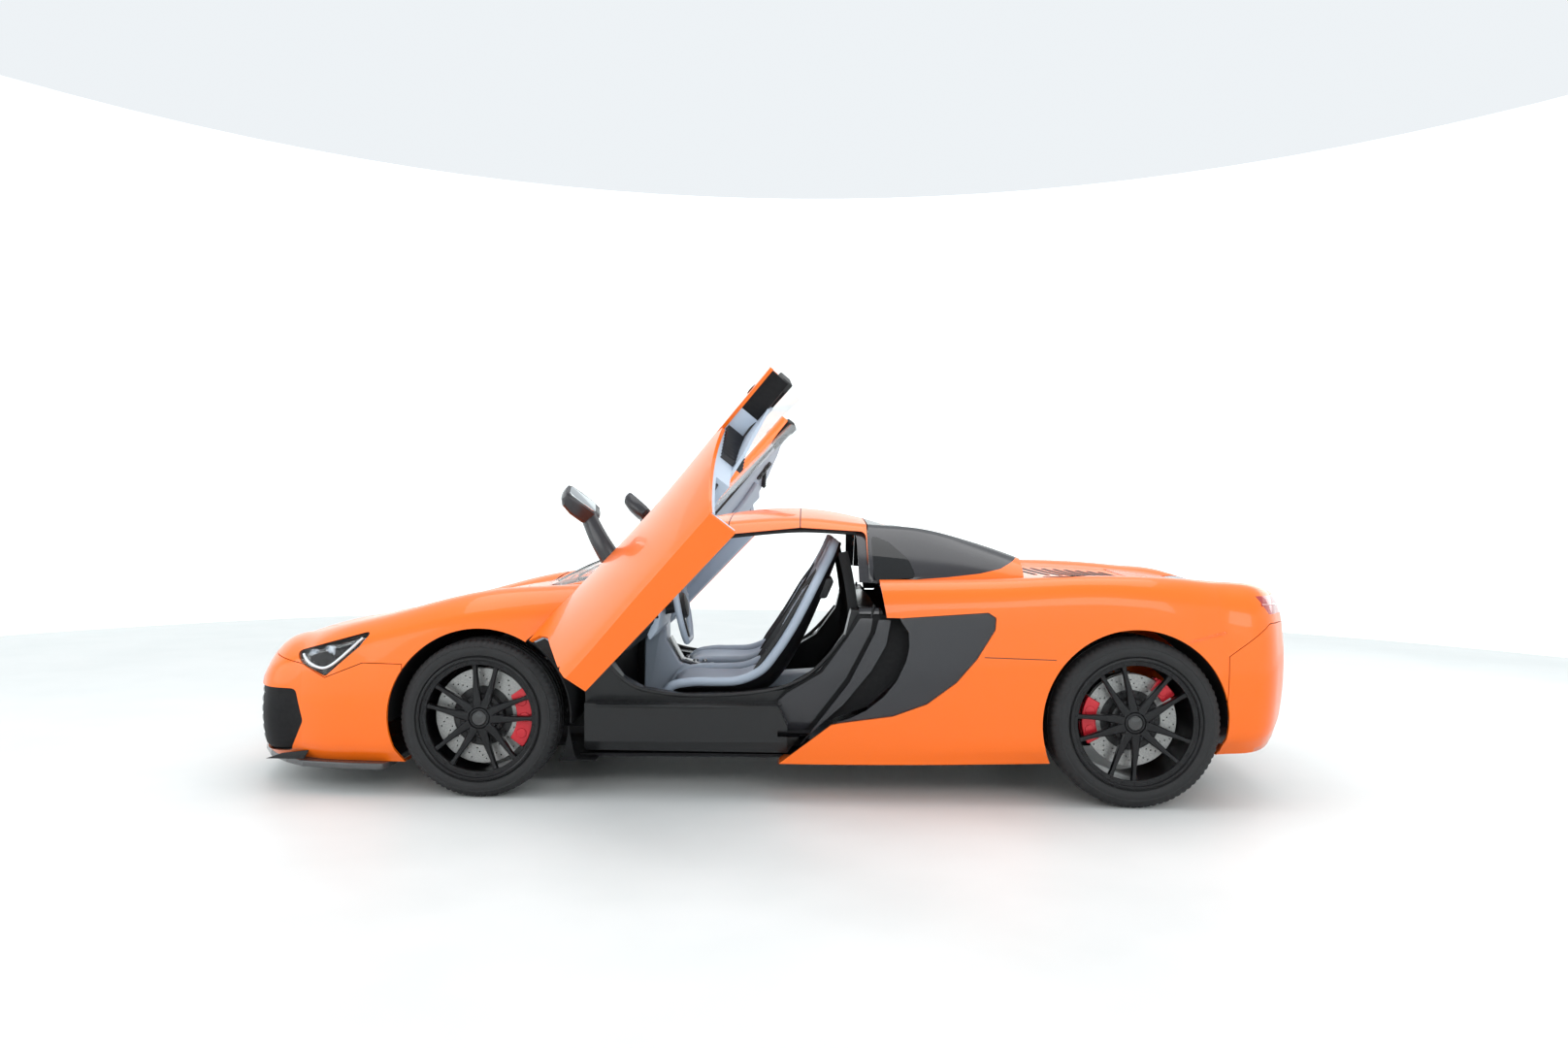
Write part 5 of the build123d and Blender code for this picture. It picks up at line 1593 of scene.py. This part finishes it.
@dataclass
class Cabin:
    """Dashboard, console, steering wheel, belts and the tub's lips."""

    wheel_centre: tuple = (-391.0, -380.0, 752.0)
    wheel_radius: float = 180.0

    def dashboard(self) -> None:
        """The dashboard: a leather-topped roll over the whole width with a binnacle, vents and a screen."""
        rings = []
        outline = rounded([(-733, 566), (-733, 792), (-700, 826), (-600, 834), (-520, 812), (-478, 762),
                           (-492, 690), (-540, 640), (-600, 566)], 34, 5)
        for y in (-628, -600, -300, 0, 300, 600, 628):
            shrink = 10 if abs(y) > 610 else 0
            cx, cz = -620, 700
            rings.append(np.array([(cx + (x - cx) * (1 - shrink / 200), y,
                                    cz + (z - cz) * (1 - shrink / 200))
                                   for x, z in outline]))
        place(lofted("dashboard_roll", rings), "chassis", BLACK_LEATHER, "dashboard")
        lower = rounded([(-520, 640), (-474, 742), (-462, 736), (-474, 660), (-510, 612)], 10)
        for hand, (low, high) in (("left", (-600, -130)), ("right", (130, 600))):
            band = bevelled(prism(lower, View.SIDE, low, high), 4)
            band.name = f"dashboard_band_{hand}"
            place(band, "chassis", LEATHER, "dashboard")
        hood = bevelled(prism(rounded([(-600, 826), (-560, 872), (-470, 856), (-448, 800), (-468, 790),
                                       (-540, 806)],
                                      16), View.SIDE, -520, -240), 10, 3)
        hood.name = "instrument_hood"
        place(hood, "chassis", BLACK_LEATHER, "dashboard")
        dial = bevelled(prism([(-478, 742), (-470, 836), (-462, 836), (-470, 742)], View.SIDE, -490, -270),
                        3)
        dial.name = "instrument_screen"
        place(dial, "chassis", SCREEN, "dashboard")
        for number, y in enumerate((-575, -170, 170, 575)):
            ring = []
            for r, d in ((46, 0), (46, 14), (40, 18), (36, 14), (36, 2)):
                turns = np.linspace(0, 2 * np.pi, 28, endpoint=False)
                ring.append(np.stack([np.full(28, -492 + d) - 0.3 * r * np.sin(turns) * 0.4,
                                      y + r * np.cos(turns), 742 + r * np.sin(turns) * 0.8], 1))
            pieces = [lofted("ring", ring)]
            for k in range(5):
                z = 742 + (k - 2) * 14
                pieces.append(prism([(-500, z - 1.5), (-478, z + 2), (-478, z + 5), (-500, z + 1.5)],
                                    View.SIDE, y - 33, y + 33))
            vent = joined(f"air_vent_{number}", pieces)
            place(vent, "chassis", BLACK_PLASTIC, "dashboard")

    def console(self) -> None:
        """The centre console with its screen, switches and arm pad."""
        side = rounded([(-600, 560), (-548, 640), (-520, 690), (-500, 684), (-496, 560), (-430, 452),
                        (-260, 408), (60, 402), (290, 420), (300, 210), (-600, 210)], 26, 5)
        whole = bevelled(prism(side, View.SIDE, -92, 92), 14, 3)
        whole.name = "console_body"
        place(whole, "chassis", LEATHER, "console")
        top = [(-486, 572), (-424, 462), (-258, 417), (40, 410)]
        spine = rounded([*top, *[(x + 3, z - 12) for x, z in top[::-1]]], 3)
        cover = bevelled(prism(spine, View.SIDE, -58, 58), 3)
        cover.name = "console_spine"
        place(cover, "chassis", GLOSS_BLACK, "console")
        screen = bevelled(prism([(-520, 590), (-500, 684), (-493, 680), (-508, 590)], View.SIDE, -70, 70),
                          3)
        screen.name = "console_screen"
        place(screen, "chassis", SCREEN, "console")
        knobs = []
        for k in range(6):
            x, z = -400 + 40 * k, 462 - 9 * k
            ring = []
            for r, d in ((13, 0), (13, 8), (10.5, 12), (4, 12.5)):
                turns = np.linspace(0, 2 * np.pi, 20, endpoint=False)
                ring.append(np.stack([x + r * np.cos(turns), (-28 if k % 2 else 28) + r * np.sin(turns),
                                      np.full(20, z + d)], 1))
            knobs.append(lofted("knob", ring))
        place(joined("console_knobs", knobs), "chassis", ALLOY_TRIM, "console")

    def steering(self) -> None:
        """A leather rim, flat at its foot, on three spokes."""
        centre = np.array(self.wheel_centre)
        axis = np.array((0.98, 0.0, 0.198)) / np.linalg.norm((0.98, 0.0, 0.198))
        right = np.array((0.0, 1.0, 0.0))
        up = np.cross(axis, right)
        up = -up if up[2] < 0 else up

        def spot(angle: float, radius: float, out: float = 0.0) -> np.ndarray:
            """A point in the wheel's plane."""
            return centre + radius * (math.cos(angle) * right + math.sin(angle) * up) + out * axis

        line = []
        for i in range(48):
            angle = 2 * math.pi * i / 48
            point = spot(angle, self.wheel_radius)
            flat = max(0.0, -(math.sin(angle) * self.wheel_radius) - 158)
            line.append(tuple(point + flat * up))
        place(tube("steering_rim", line, 14.5, closed=True), "steering_wheel", LEATHER, "steering_wheel")
        for name, angle in (("left", math.pi), ("right", 0.0), ("foot", -math.pi / 2)):
            rings = []
            for t in np.linspace(0, 1, 6):
                radius = 40 + (self.wheel_radius - 52) * t
                wide = (26 if name != "foot" else 18) * (1 - 0.45 * t)
                middle = spot(angle, radius, 4 - 10 * (1 - t))
                cross = -math.sin(angle) * right + math.cos(angle) * up
                rings.append(np.array([middle + cross * wide * u + axis * v for u, v in
                                       ((-1, -5), (-1, 3), (-0.8, 6), (0.8, 6), (1, 3), (1, -5))]))
            place(lofted(f"steering_spoke_{name}", rings), "steering_wheel", SHELL, "steering_wheel")
        rings = []
        for r, d in ((58, -16), (64, -8), (64, 10), (56, 20), (30, 25), (6, 26)):
            turns = np.linspace(0, 2 * np.pi, 36, endpoint=False)
            rings.append(np.array([centre + r * (np.cos(a) * right * 1.05 + np.sin(a) * up * 0.92) + d * axis
                                   for a in turns]))
        place(lofted("steering_hub", rings), "steering_wheel", BLACK_LEATHER, "steering_wheel")
        rings = []
        for r, d in ((26, -84), (26, -20), (40, -16)):
            turns = np.linspace(0, 2 * np.pi, 24, endpoint=False)
            rings.append(np.array([centre + r * (np.cos(a) * right + np.sin(a) * up) + d * axis
                                   for a in turns]))
        place(lofted("steering_column_shroud", rings), "steering_wheel", SHELL, "steering_wheel")
        for name, sign in (("left", -1), ("right", 1)):
            rings = []
            for t in np.linspace(0, 1, 5):
                middle = centre - 26 * axis + right * sign * (74 + 36 * t) + up * 18
                tall = 62 * (1 - 0.25 * t)
                rings.append(np.array([middle + up * tall * u + axis * v for u, v in
                                       ((-0.6, -3), (-0.6, 3), (1, 3), (1, -3))]))
            place(bevelled(lofted(f"gear_paddle_{name}", rings), 1.5), "steering_wheel", GLOSS_BLACK,
                  "steering_wheel")

    def lips(self) -> None:
        """The rubber seals and raised lips round both door openings, the floor mats, the belts and the
        pillar plugs.
        """
        opening = [(-655, 530), (-608, 470), (-523, 424), (-359, 402), (-114, 409), (90, 441), (232, 525),
                   (337, 668), (384, 880), (388, 1070), (245, 1088), (41, 1086), (-195, 1054), (-317, 978)]
        sill = [(-730, 700), (-716, 520), (-690, 410), (-600, 389), (-300, 388), (20, 388), (120, 405),
                (250, 470), (372, 600), (440, 715), (455, 800)]
        for side in Side:
            s, word = side.value, side.word
            low = [(x, s * 768, z) for x, z in opening[:8]]
            place(tube(f"door_seal_{word}", low, 9), "chassis", SEAL)
            where = Outline3D(HULL_ROWS)
            edge = [(x, s * 884, 378) for x, z in sill[2:5]] + [(10, s * 866, 378), (72, s * 812, 380)]
            edge += [(x, s * (where.flank(x, z) - 122), z) for x, z in sill[6:]]
            place(tube(f"sill_lip_{word}", edge, 6), "chassis", CARBON)
            mat = bevelled(prism(rounded([(-690, 206), (-430, 206), (-430, 214), (-690, 214)], 3),
                                 View.SIDE, *sorted((s * 140, s * 610))), 3)
            mat.name = f"floor_mat_{word}"
            place(mat, "chassis", CARPET)
            belt = tube(f"belt_{word}", [(395, s * 560, 300), (388, s * 590, 560), (372, s * 600, 840),
                                         (330, s * 540, 1010)], 22, flat=0.08)
            place(belt, "chassis", WEBBING)
            for number, (x, z, deep) in enumerate(((-672, 600, 14), (-650, 545, 11), (-690, 660, 16))):
                knob = bevelled(drum(x, z, deep, *sorted((s * 772, s * 781)), steps=20), 2)
                knob.name = f"pillar_plug_{number}_{word}"
                place(knob, "chassis", SEAL)

    def build(self) -> None:
        """Make the cabin."""
        for side in Side:
            Seat(side).build()
        self.dashboard()
        self.console()
        self.steering()
        self.lips()


# ---------------------------------------------------------------- outside details
@dataclass
class Outline3D:
    """Finds places on the hull's outer surface."""

    rows: np.ndarray

    def flank(self, x: float, z: float) -> float:
        """Half width of the hull's side at a place along the car and a height.

        Args:
            x: The place along the car.
            z: The height.

        Returns:
            The half width, in millimetres.
        """
        half = HullSkin(self.rows, PANEL).half_profile(hermite(self.rows[:, 0], self.rows[:, 1:],
                np.array([x])))[0]
        part = half[7:26]
        return float(np.interp(z, part[:, 1], part[:, 0]))

    def deck(self, x: float, y: float) -> float:
        """Height of the hull's top at a place along and across the car.

        Args:
            x: The place along the car.
            y: The place across it.

        Returns:
            The height, in millimetres.
        """
        half = HullSkin(self.rows, PANEL).half_profile(hermite(self.rows[:, 0], self.rows[:, 1:],
                np.array([x])))[0]
        part = half[20:][::-1]
        return float(np.interp(abs(y), part[:, 0], part[:, 1]))


@dataclass
class Exterior:
    """Lamps, grilles, splitter, tail mesh, exhausts, wipers, vents and seams on the body."""

    hull: Shell
    seat: Shell
    deep: Shell
    where: Outline3D

    def lamps(self) -> None:
        """Headlamp bowls with light strips and lenses, and the side markers and tail lights."""
        bowl = across(offset_outline(rounded(HEADLAMP_SIDE, 18), 6))
        middle = block(-2300, -1000, -545, 545, 0, 1200)
        place(self.seat.panel("headlamp_bowls", [bowl], [middle]), "chassis", BLACK_PLASTIC, "headlamps")
        for side in Side:
            s, word = side.value, side.word
            strip = []
            for x, z in ((-1912, 566), (-1890, 545), (-1850, 524), (-1806, 515), (-1770, 530), (-1730, 565),
                         (-1690, 604), (-1655, 640)):
                strip.append((x, s * (self.where.flank(x, z) - 9), z))
            place(tube(f"headlamp_strip_{word}", strip, 5.5), "chassis", LAMP_WHITE, "headlamps")
            for number, (x, z, r) in enumerate(((-1790, 574, 34), (-1862, 566, 24))):
                y = self.where.flank(x, z) - 26
                rings = []
                for radius, out in ((r, -10), (r, 4), (r * 0.88, 7), (r * 0.8, 2), (r * 0.5, 9), (3, 12)):
                    turns = np.linspace(0, 2 * np.pi, 28, endpoint=False)
                    rings.append(np.stack([x - out * 0.7 + radius * np.cos(turns) * 0.8,
                                           s * (y + out * 0.6 - radius * np.cos(turns) * -0.4),
                                           z + radius * np.sin(turns)], 1))
                place(lofted(f"headlamp_lens_{number}_{word}", rings), "chassis", LAMP_LENS, "headlamps")
            marker = []
            for x, z in ((1716, 678), (1760, 690), (1815, 703), (1872, 716)):
                marker.append((x, s * (self.where.flank(x, z) - 2.0), z))
            place(tube(f"side_marker_{word}", marker, 7.5, flat=0.8), "chassis", LAMP_CLEAR,
                  "rear_quarters")
            tail = []
            for x, z in ((2028, 826), (2080, 824), (2140, 822), (2200, 818)):
                tail.append((x, s * (self.where.flank(x, z) - 1.5), z))
            place(tube(f"tail_light_strip_{word}", tail, 6, flat=1.0), "chassis", LAMP_RED, "tail_lamps")

    def front(self) -> None:
        """Corner grilles with bars, and the splitter with its end plates."""
        for side in Side:
            s, word = side.value, side.word
            low, high = sorted((s * 320, s * 1000))
            mouth = across(offset_outline(rounded(GRILLE_SIDE, 30), -2), low, high)
            place(self.deep.panel(f"corner_grille_{word}", [mouth], []), "chassis", BLACK_PLASTIC,
                  "front_grilles")
            bars = []
            for k in range(6):
                z = 185 + 42 * k
                points = [(x, s * (self.where.flank(x, z) - 16), z + 6)
                          for x in (-2175, -2130, -2080, -2020, -1960, -1915) if x < -1925 + (z < 400) * 40]
                if len(points) > 2:
                    bars.append(tube("bar", points, 3.2))
            place(joined(f"corner_grille_bars_{word}", bars), "chassis", GLOSS_BLACK, "front_grilles")
            fin = bevelled(prism([(-2060, 134), (-1900, 134), (-1880, 172), (-1990, 158)], View.SIDE,
                                 *sorted((s * 868, s * 876))), 2)
            fin.name = f"splitter_fin_{word}"
            place(fin, "chassis", CARBON, "splitter")
        plan = [(-2254, -370), (-2205, -560), (-2120, -698), (-2000, -815), (-1900, -886), (-1700, -915),
                (-1560, -922), (-1542, -880), (-1542, 880), (-1560, 922), (-1700, 915), (-1900, 886),
                (-2000, 815), (-2120, 698), (-2205, 560), (-2254, 370)]
        blade = bevelled(prism(rounded(plan, 30), View.PLAN, 104.5, 131), 6, 3)
        blade.name = "splitter_blade"
        place(blade, "chassis", SPLITTER, "splitter")

    def rear(self) -> None:
        """Mesh across the tail, exhausts and the engine cover's louvres."""
        bars = []
        for k in range(13):
            z = 402 + 22 * k
            bars.append(prism([(2224, z), (2231, z), (2231, z + 5), (2224, z + 5)], View.SIDE, -352, 352))
        for k in range(23):
            y = -341 + 31 * k
            bars.append(prism([(y, 398), (y + 5, 398), (y + 5, 688), (y, 688)], View.END, 2224.5, 2230.5))
        place(joined("tail_mesh", bars), "chassis", GLOSS_BLACK)
        for number, y in enumerate((-150, 150)):
            rings = []
            turns = np.linspace(0, 2 * np.pi, 40, endpoint=False)
            for r, x in ((47, 2142), (47.8, 2244), (46.5, 2249), (43, 2249), (41.5, 2246), (41.5, 2160),
                         (6, 2158)):
                rings.append(np.stack([np.full(40, x), y + r * np.cos(turns), 640 + r * np.sin(turns)], 1))
            place(lofted(f"exhaust_pipe_{number}", rings), "chassis", CHROME, "exhaust_tips")
        slats = []
        for k in range(9):
            x = 1200 + 58 * k
            rings = []
            for y in np.linspace(-330, 330, 12):
                z = self.where.deck(x, y) - 1.0
                rings.append(np.array([(x, y, z - 8), (x, y, z), (x + 12, y, z + 3.5), (x + 26, y, z + 2.5),
                                       (x + 30, y, z - 8)]))
            slats.append(lofted("slat", rings))
        place(joined("engine_cover_louvres", slats), "chassis", BLACK_PLASTIC, "rear_deck")

    def seams(self) -> None:
        """Fuel flap, roof seams, seals, wipers and bonnet vents."""
        ring = []
        for i in range(28):
            a = 2 * math.pi * i / 28
            x, y = 1240 + 88 * math.cos(a), -800 + 46 * math.sin(a)
            ring.append((x, y, self.where.deck(x, y) + 0.3))
        place(tube("fuel_flap_seam", ring, 2.4, closed=True), "chassis", SEAL, "rear_quarters")
        for side in Side:
            line = [(x, side.value * (self.where.flank(x, 606) - 0.6), 606 - 0.02 * (x - 900))
                    for x in (892, 950, 1010, 1070, 1130, 1180)]
            place(tube(f"quarter_line_{side.word}", line, 1.8), "chassis", SEAL, "rear_quarters")
        for side in Side:
            s, word = side.value, side.word
            rail = [(x, s * y, z) for x, y, z in ((-560, 742, 880), (-440, 690, 972), (-300, 626, 1052),
                                                  (-171, 600, 1074), (0, 596, 1094), (142, 594, 1106),
                                                  (300, 594, 1101), (420, 592, 1092))]
            place(tube(f"roof_seal_{word}", rail, 10), "chassis", SEAL, "roof_panels")
            vent = []
            for k in range(4):
                x0 = -1195 + 42 * k
                points = [(x0, s * 600, self.where.deck(x0, 600) + 1),
                          (x0 + 26, s * 655, self.where.deck(x0 + 26, 655) + 1),
                          (x0 + 58, s * 705, self.where.deck(x0 + 58, 705) + 0.5)]
                vent.append(tube("louvre", points, 4.5, flat=0.6))
            place(joined(f"cowl_louvres_{word}", vent), "chassis", BLACK_PLASTIC, "cowl")
        for number, (a, b) in enumerate((((-985, -250, 842), (-742, -20, 962)),
                                         ((-985, 230, 842), (-742, 430, 952)))):
            a, b = np.array(a, float), np.array(b, float)
            arm = [tuple(a + (b - a) * t + np.array((0, 0, 10 * math.sin(math.pi * t) + 6))) for t in (0,
                    0.3, 0.7, 1)]
            place(tube(f"wiper_arm_{number}", arm, 5), "chassis", BLACK_PLASTIC, "cowl")

    def build(self) -> None:
        """Make every detail of the outside."""
        self.lamps()
        self.front()
        self.rear()
        self.seams()


@dataclass
class Mirror:
    """A door mirror: a two-part housing on a swept stalk."""

    side: Side
    door: Door

    def build(self) -> None:
        """Make the housing, the glass and the stalk."""
        s, word = self.side.value, self.side.word
        rings = []
        for y, wide, tall, shift in ((968, 24, 40, 0), (978, 36, 56, 0), (1016, 46, 66, 0),
                                     (1076, 48, 68, 2), (1122, 42, 60, 6), (1140, 28, 44, 10),
                                     (1145, 10, 20, 12)):
            turns = np.linspace(0, 2 * np.pi, 32, endpoint=False)
            c, n = np.cos(turns), np.sin(turns)
            x = -502 + shift + wide * np.sign(c) * np.abs(c) ** 0.7
            z = 985 + tall * np.sign(n) * np.abs(n) ** 0.75
            x = np.minimum(x, -472)
            rings.append(np.stack([x, np.full(32, s * y), z], 1))
        self.door.swung(lofted(f"mirror_housing_{word}", rings), GLOSS_BLACK, "mirror")
        glass = bevelled(prism(rounded([(s * 998, 940), (s * 1132, 944), (s * 1130, 1028),
                                        (s * 1000, 1034)], 22), View.END,
                               -474, -469), 1.5)
        glass.name = f"mirror_glass_{word}"
        self.door.swung(glass, MIRROR, "mirror")
        rings = []
        for t in np.linspace(0, 1, 9):
            middle = np.array((-545, s * 846, 800)) * (1 - t) + np.array((-508, s * 1004, 952)) * t
            middle += np.array((0, s * 6, -14)) * math.sin(math.pi * t)
            wide, tall = 46 - 8 * t, 24 - 6 * t
            turns = np.linspace(0, 2 * np.pi, 16, endpoint=False)
            rings.append(np.stack([middle[0] + wide * np.cos(turns),
                                   middle[1] + s * -tall * 0.7 * np.sin(turns),
                                   middle[2] + tall * np.sin(turns)], 1))
        self.door.swung(lofted(f"mirror_stalk_{word}", rings), GLOSS_BLACK, "mirror")


@dataclass
class DoorFittings:
    """Handle button, louvre, switches, latch, pull and seal of a door, made closed and swung open."""

    side: Side
    door: Door
    where: Outline3D

    def build(self) -> None:
        """Make the fittings."""
        s, word = self.side.value, self.side.word
        rings = []
        x, z = 372, 812
        y = self.where.flank(x, z)
        turns = np.linspace(0, 2 * np.pi, 28, endpoint=False)
        for r, out in ((26, -6), (26, 1.2), (22, 3.0), (8, 3.4)):
            rings.append(np.stack([x + r * np.cos(turns), s * (y + out - 0.30 * r * np.sin(turns)),
                                   z + 0.62 * r * np.sin(turns)], 1))
        self.door.swung(lofted(f"door_button_{word}", rings), SEAL, "door")
        slats = []
        for k in range(10):
            z0 = 520 + 21 * k
            x0 = 168 + 0.28 * (z0 - 520)
            slats.append(prism([(x0 - 18, z0), (x0 + 4, z0 + 3), (x0 + 4, z0 + 7), (x0 - 18, z0 + 4)],
                               View.SIDE, *sorted((s * 800, s * 900))))
        self.door.swung(joined(f"door_louvre_{word}", slats), GLOSS_BLACK, "door")
        pill = bevelled(prism(rounded([(140, 640), (262, 676), (252, 716), (130, 680)], 18, 6), View.SIDE,
                              *sorted((s * 800, s * 816))), 3, 3)
        pill.name = f"door_switch_plate_{word}"
        self.door.swung(pill, SHELL, "door_trim")
        knobs = []
        for k in range(3):
            cx, cz = 162 + 34 * k, 667 + 10 * k
            rings = []
            for r, out in ((12, 806), (12, 797), (9, 795), (3, 795)):
                rings.append(np.stack([cx + r * np.cos(turns), np.full(28, s * out),
                                       cz + r * np.sin(turns)], 1))
            knobs.append(lofted("knob", rings))
        self.door.swung(joined(f"door_switches_{word}", knobs), GLOSS_BLACK, "door_trim")
        latch = bevelled(prism(rounded([(448, 765), (492, 765), (492, 850), (448, 856)], 8), View.SIDE,
                               *sorted((s * 800, s * 850))), 4)
        latch.name = f"door_latch_{word}"
        self.door.swung(latch, SEAL, "door")
        seal = []
        for sx, sz in ((-735, 200), (-500, 196), (-200, 196), (30, 196), (78, 330), (126, 520), (176, 690),
                       (250, 766), (450, 770), (456, 858), (200, 856), (-200, 852), (-480, 850),
                       (-600, 840)):
            deep = 96 if sz > 400 else 28
            seal.append((sx, s * (self.where.flank(sx, min(sz, 840)) - deep), sz))
        self.door.swung(tube(f"door_rubber_{word}", seal, 7), SEAL, "door")
        pull = [(-420, 560), (-300, 540), (-120, 548), (40, 590), (120, 640)]
        line = [(px, s * (self.where.flank(px, pz) - 118), pz) for px, pz in pull]
        self.door.swung(tube(f"door_armrest_{word}", line, 20, flat=0.7), LEATHER, "door_trim")


# ---------------------------------------------------------------- floor, wall, lamps and camera, in metres
FLOOR_REACH = 30
WALL_STEPS = 96
WALL_RINGS = ((8.2, 0.001), (8.7, 0.08), (9.0, 0.5), (9.0, 2.5), (9.0, 5.2))
WALL_GLOW = (0.95, 1.0, 1.0, 1.0)
WALL_GLOW_STRENGTH = 0.42
SKY_COLOUR = (0.93, 0.97, 1.0, 1.0)
SKY_STRENGTH = 0.92
# name, place, the point it faces, width and depth, watts
LAMPS = (("roof_light", (0, 0, 4.6), (0, 0, 0), (6.5, 3.5), 150),
         ("front_light", (-5.5, -3.5, 2.6), (-0.8, 0, 0.5), (4, 2.5), 50),
         ("side_light", (1.5, -6.5, 3.4), (0, 0, 0.5), (6, 1.6), 90),
         ("rear_light", (5.5, 3.0, 2.8), (0.5, 0, 0.6), (4, 2.5), 50))
FRAME_WIDTH_PX = 1616
FOCAL_LENGTH_PX = 1165
SENSOR_WIDTH = 36.0
FAR_CLIP = 100
EYE = (0.154, -5.510, 1.178)
EYE_TURNS = (-0.0170, 0.0097, 0.0130)


def stage() -> None:
    """Make the pale floor, the round glowing wall, the sky and the lamps."""
    floor = new_mesh("floor", np.array([(-FLOOR_REACH, -FLOOR_REACH, 0), (FLOOR_REACH, -FLOOR_REACH, 0),
                                        (FLOOR_REACH, FLOOR_REACH, 0), (-FLOOR_REACH, FLOOR_REACH, 0)],
                                        float), [(0, 1, 2, 3)])
    floor.data.materials.append(FLOOR_PAINT.material())
    turns = np.linspace(0, 2 * np.pi, WALL_STEPS, endpoint=False)
    rings = []
    for radius, height in WALL_RINGS:
        rings.append([(radius * math.cos(t), radius * math.sin(t), height) for t in turns])
    points = np.array(rings).reshape(-1, 3)
    faces = []
    for low in range(0, WALL_STEPS * (len(WALL_RINGS) - 1), WALL_STEPS):
        for i in range(WALL_STEPS):
            after = (i + 1) % WALL_STEPS
            faces.append((low + i, low + after, low + WALL_STEPS + after, low + WALL_STEPS + i))
    wall = new_mesh("wall", points, faces)
    shade(wall, 60)
    paint = WALL_PAINT.material()
    glow = paint.node_tree.nodes["Principled BSDF"]
    glow.inputs["Emission Color"].default_value = WALL_GLOW
    glow.inputs["Emission Strength"].default_value = WALL_GLOW_STRENGTH
    wall.data.materials.append(paint)
    world = bpy.data.worlds.new("studio")
    bpy.context.scene.world = world
    world.use_nodes = True
    world.node_tree.nodes["Background"].inputs["Color"].default_value = SKY_COLOUR
    world.node_tree.nodes["Background"].inputs["Strength"].default_value = SKY_STRENGTH
    bpy.context.scene.view_settings.view_transform = "Standard"
    for name, spot, target, size, power in LAMPS:
        light = bpy.data.lights.new(name, "AREA")
        light.shape, light.size, light.size_y, light.energy = "RECTANGLE", size[0], size[1], power
        lamp = bpy.data.objects.new(name, light)
        bpy.context.scene.collection.objects.link(lamp)
        lamp.location = spot
        lamp.rotation_euler = (Vector(target) - Vector(spot)).to_track_quat("-Z", "Y").to_euler()


def camera() -> None:
    """Make the camera, at the side of the car."""
    data = bpy.data.cameras.new("camera")
    data.sensor_width = SENSOR_WIDTH
    data.lens = FOCAL_LENGTH_PX / FRAME_WIDTH_PX * SENSOR_WIDTH
    data.clip_end = FAR_CLIP
    eye = bpy.data.objects.new("camera", data)
    bpy.context.scene.collection.objects.link(eye)
    yaw, pitch, roll = EYE_TURNS
    forward = Vector((math.sin(yaw), math.cos(yaw), 0))
    right = Vector((math.cos(yaw), -math.sin(yaw), 0))
    look = forward * math.cos(pitch) - Vector((0, 0, 1)) * math.sin(pitch)
    up = Vector((0, 0, 1)) * math.cos(pitch) + forward * math.sin(pitch)
    rolled = right * math.cos(roll) + up * math.sin(roll)
    top = up * math.cos(roll) - right * math.sin(roll)
    eye.matrix_world = Matrix.Translation(EYE) @ Matrix(
        (rolled, top, -look)).transposed().to_4x4()
    bpy.context.scene.camera = eye


def dress_cad() -> None:
    """Give the CAD nodes that still show their finishes."""
    slots = {row["node"]: row["material_slot"] for row in frame["record"]["subparts"]}
    for name, node in frame["nodes"].items():
        finish = CAD_FINISHES[slots[name]]
        if not node.material_slots:
            node.data.materials.append(finish.material())
        for entry in node.material_slots:
            entry.material = finish.material()


def main() -> None:
    """Build the car round its frame."""
    logging.basicConfig(level=logging.INFO, format="%(message)s")
    dress_cad()
    camera()
    stage()
    skin = HullSkin(HULL_ROWS, PANEL)
    hull = skin.shell()
    green = GreenSkin(GREEN_ROWS, ROOF)
    seat = skin.shell(*UNDERSKIN)
    Body(hull, seat, skin.shell(*SCOOP_DUCT), skin.shell(*DOOR_POST), skin.shell(*POST_STEP)).build()
    LOG.info("body panels")
    roof, glass = green.shell(), green.shell(*ROOF_GLASS)
    Greenhouse(roof, glass, green.shell(*ROOF_LINING)).build()
    LOG.info("greenhouse")
    structure, lower = skin.shell(*DOOR_FRAME), skin.shell(*DOOR_SILL)
    where = Outline3D(HULL_ROWS)
    for side in Side:
        door = Door(side, hull, structure, glass, lower)
        door.build()
        Mirror(side, door).build()
        DoorFittings(side, door, where).build()
    LOG.info("doors and mirrors")
    for side in Side:
        Wheel(Axle.FRONT, side, x=-1161, y=828, radius=323.5, width=235, rim=252, rim_width=232, face=922,
              disc_plane=838, disc_radius=197, phase=12).build()
        Wheel(Axle.REAR, side, x=1509, y=791.5, radius=345.5, width=305, rim=266, rim_width=298, face=922,
              disc_plane=826, disc_radius=190, phase=42).build()
    LOG.info("wheels and brakes")
    Exterior(hull, seat, skin.shell(*CORNER_GRILLE), where).build()
    LOG.info("lamps, grilles and seams")
    Cabin().build()
    LOG.info("cabin")
    for piece in [o for o in bpy.data.objects if o.name.startswith("cutter")]:
        remove(piece)


if __name__ == "__main__":
    main()
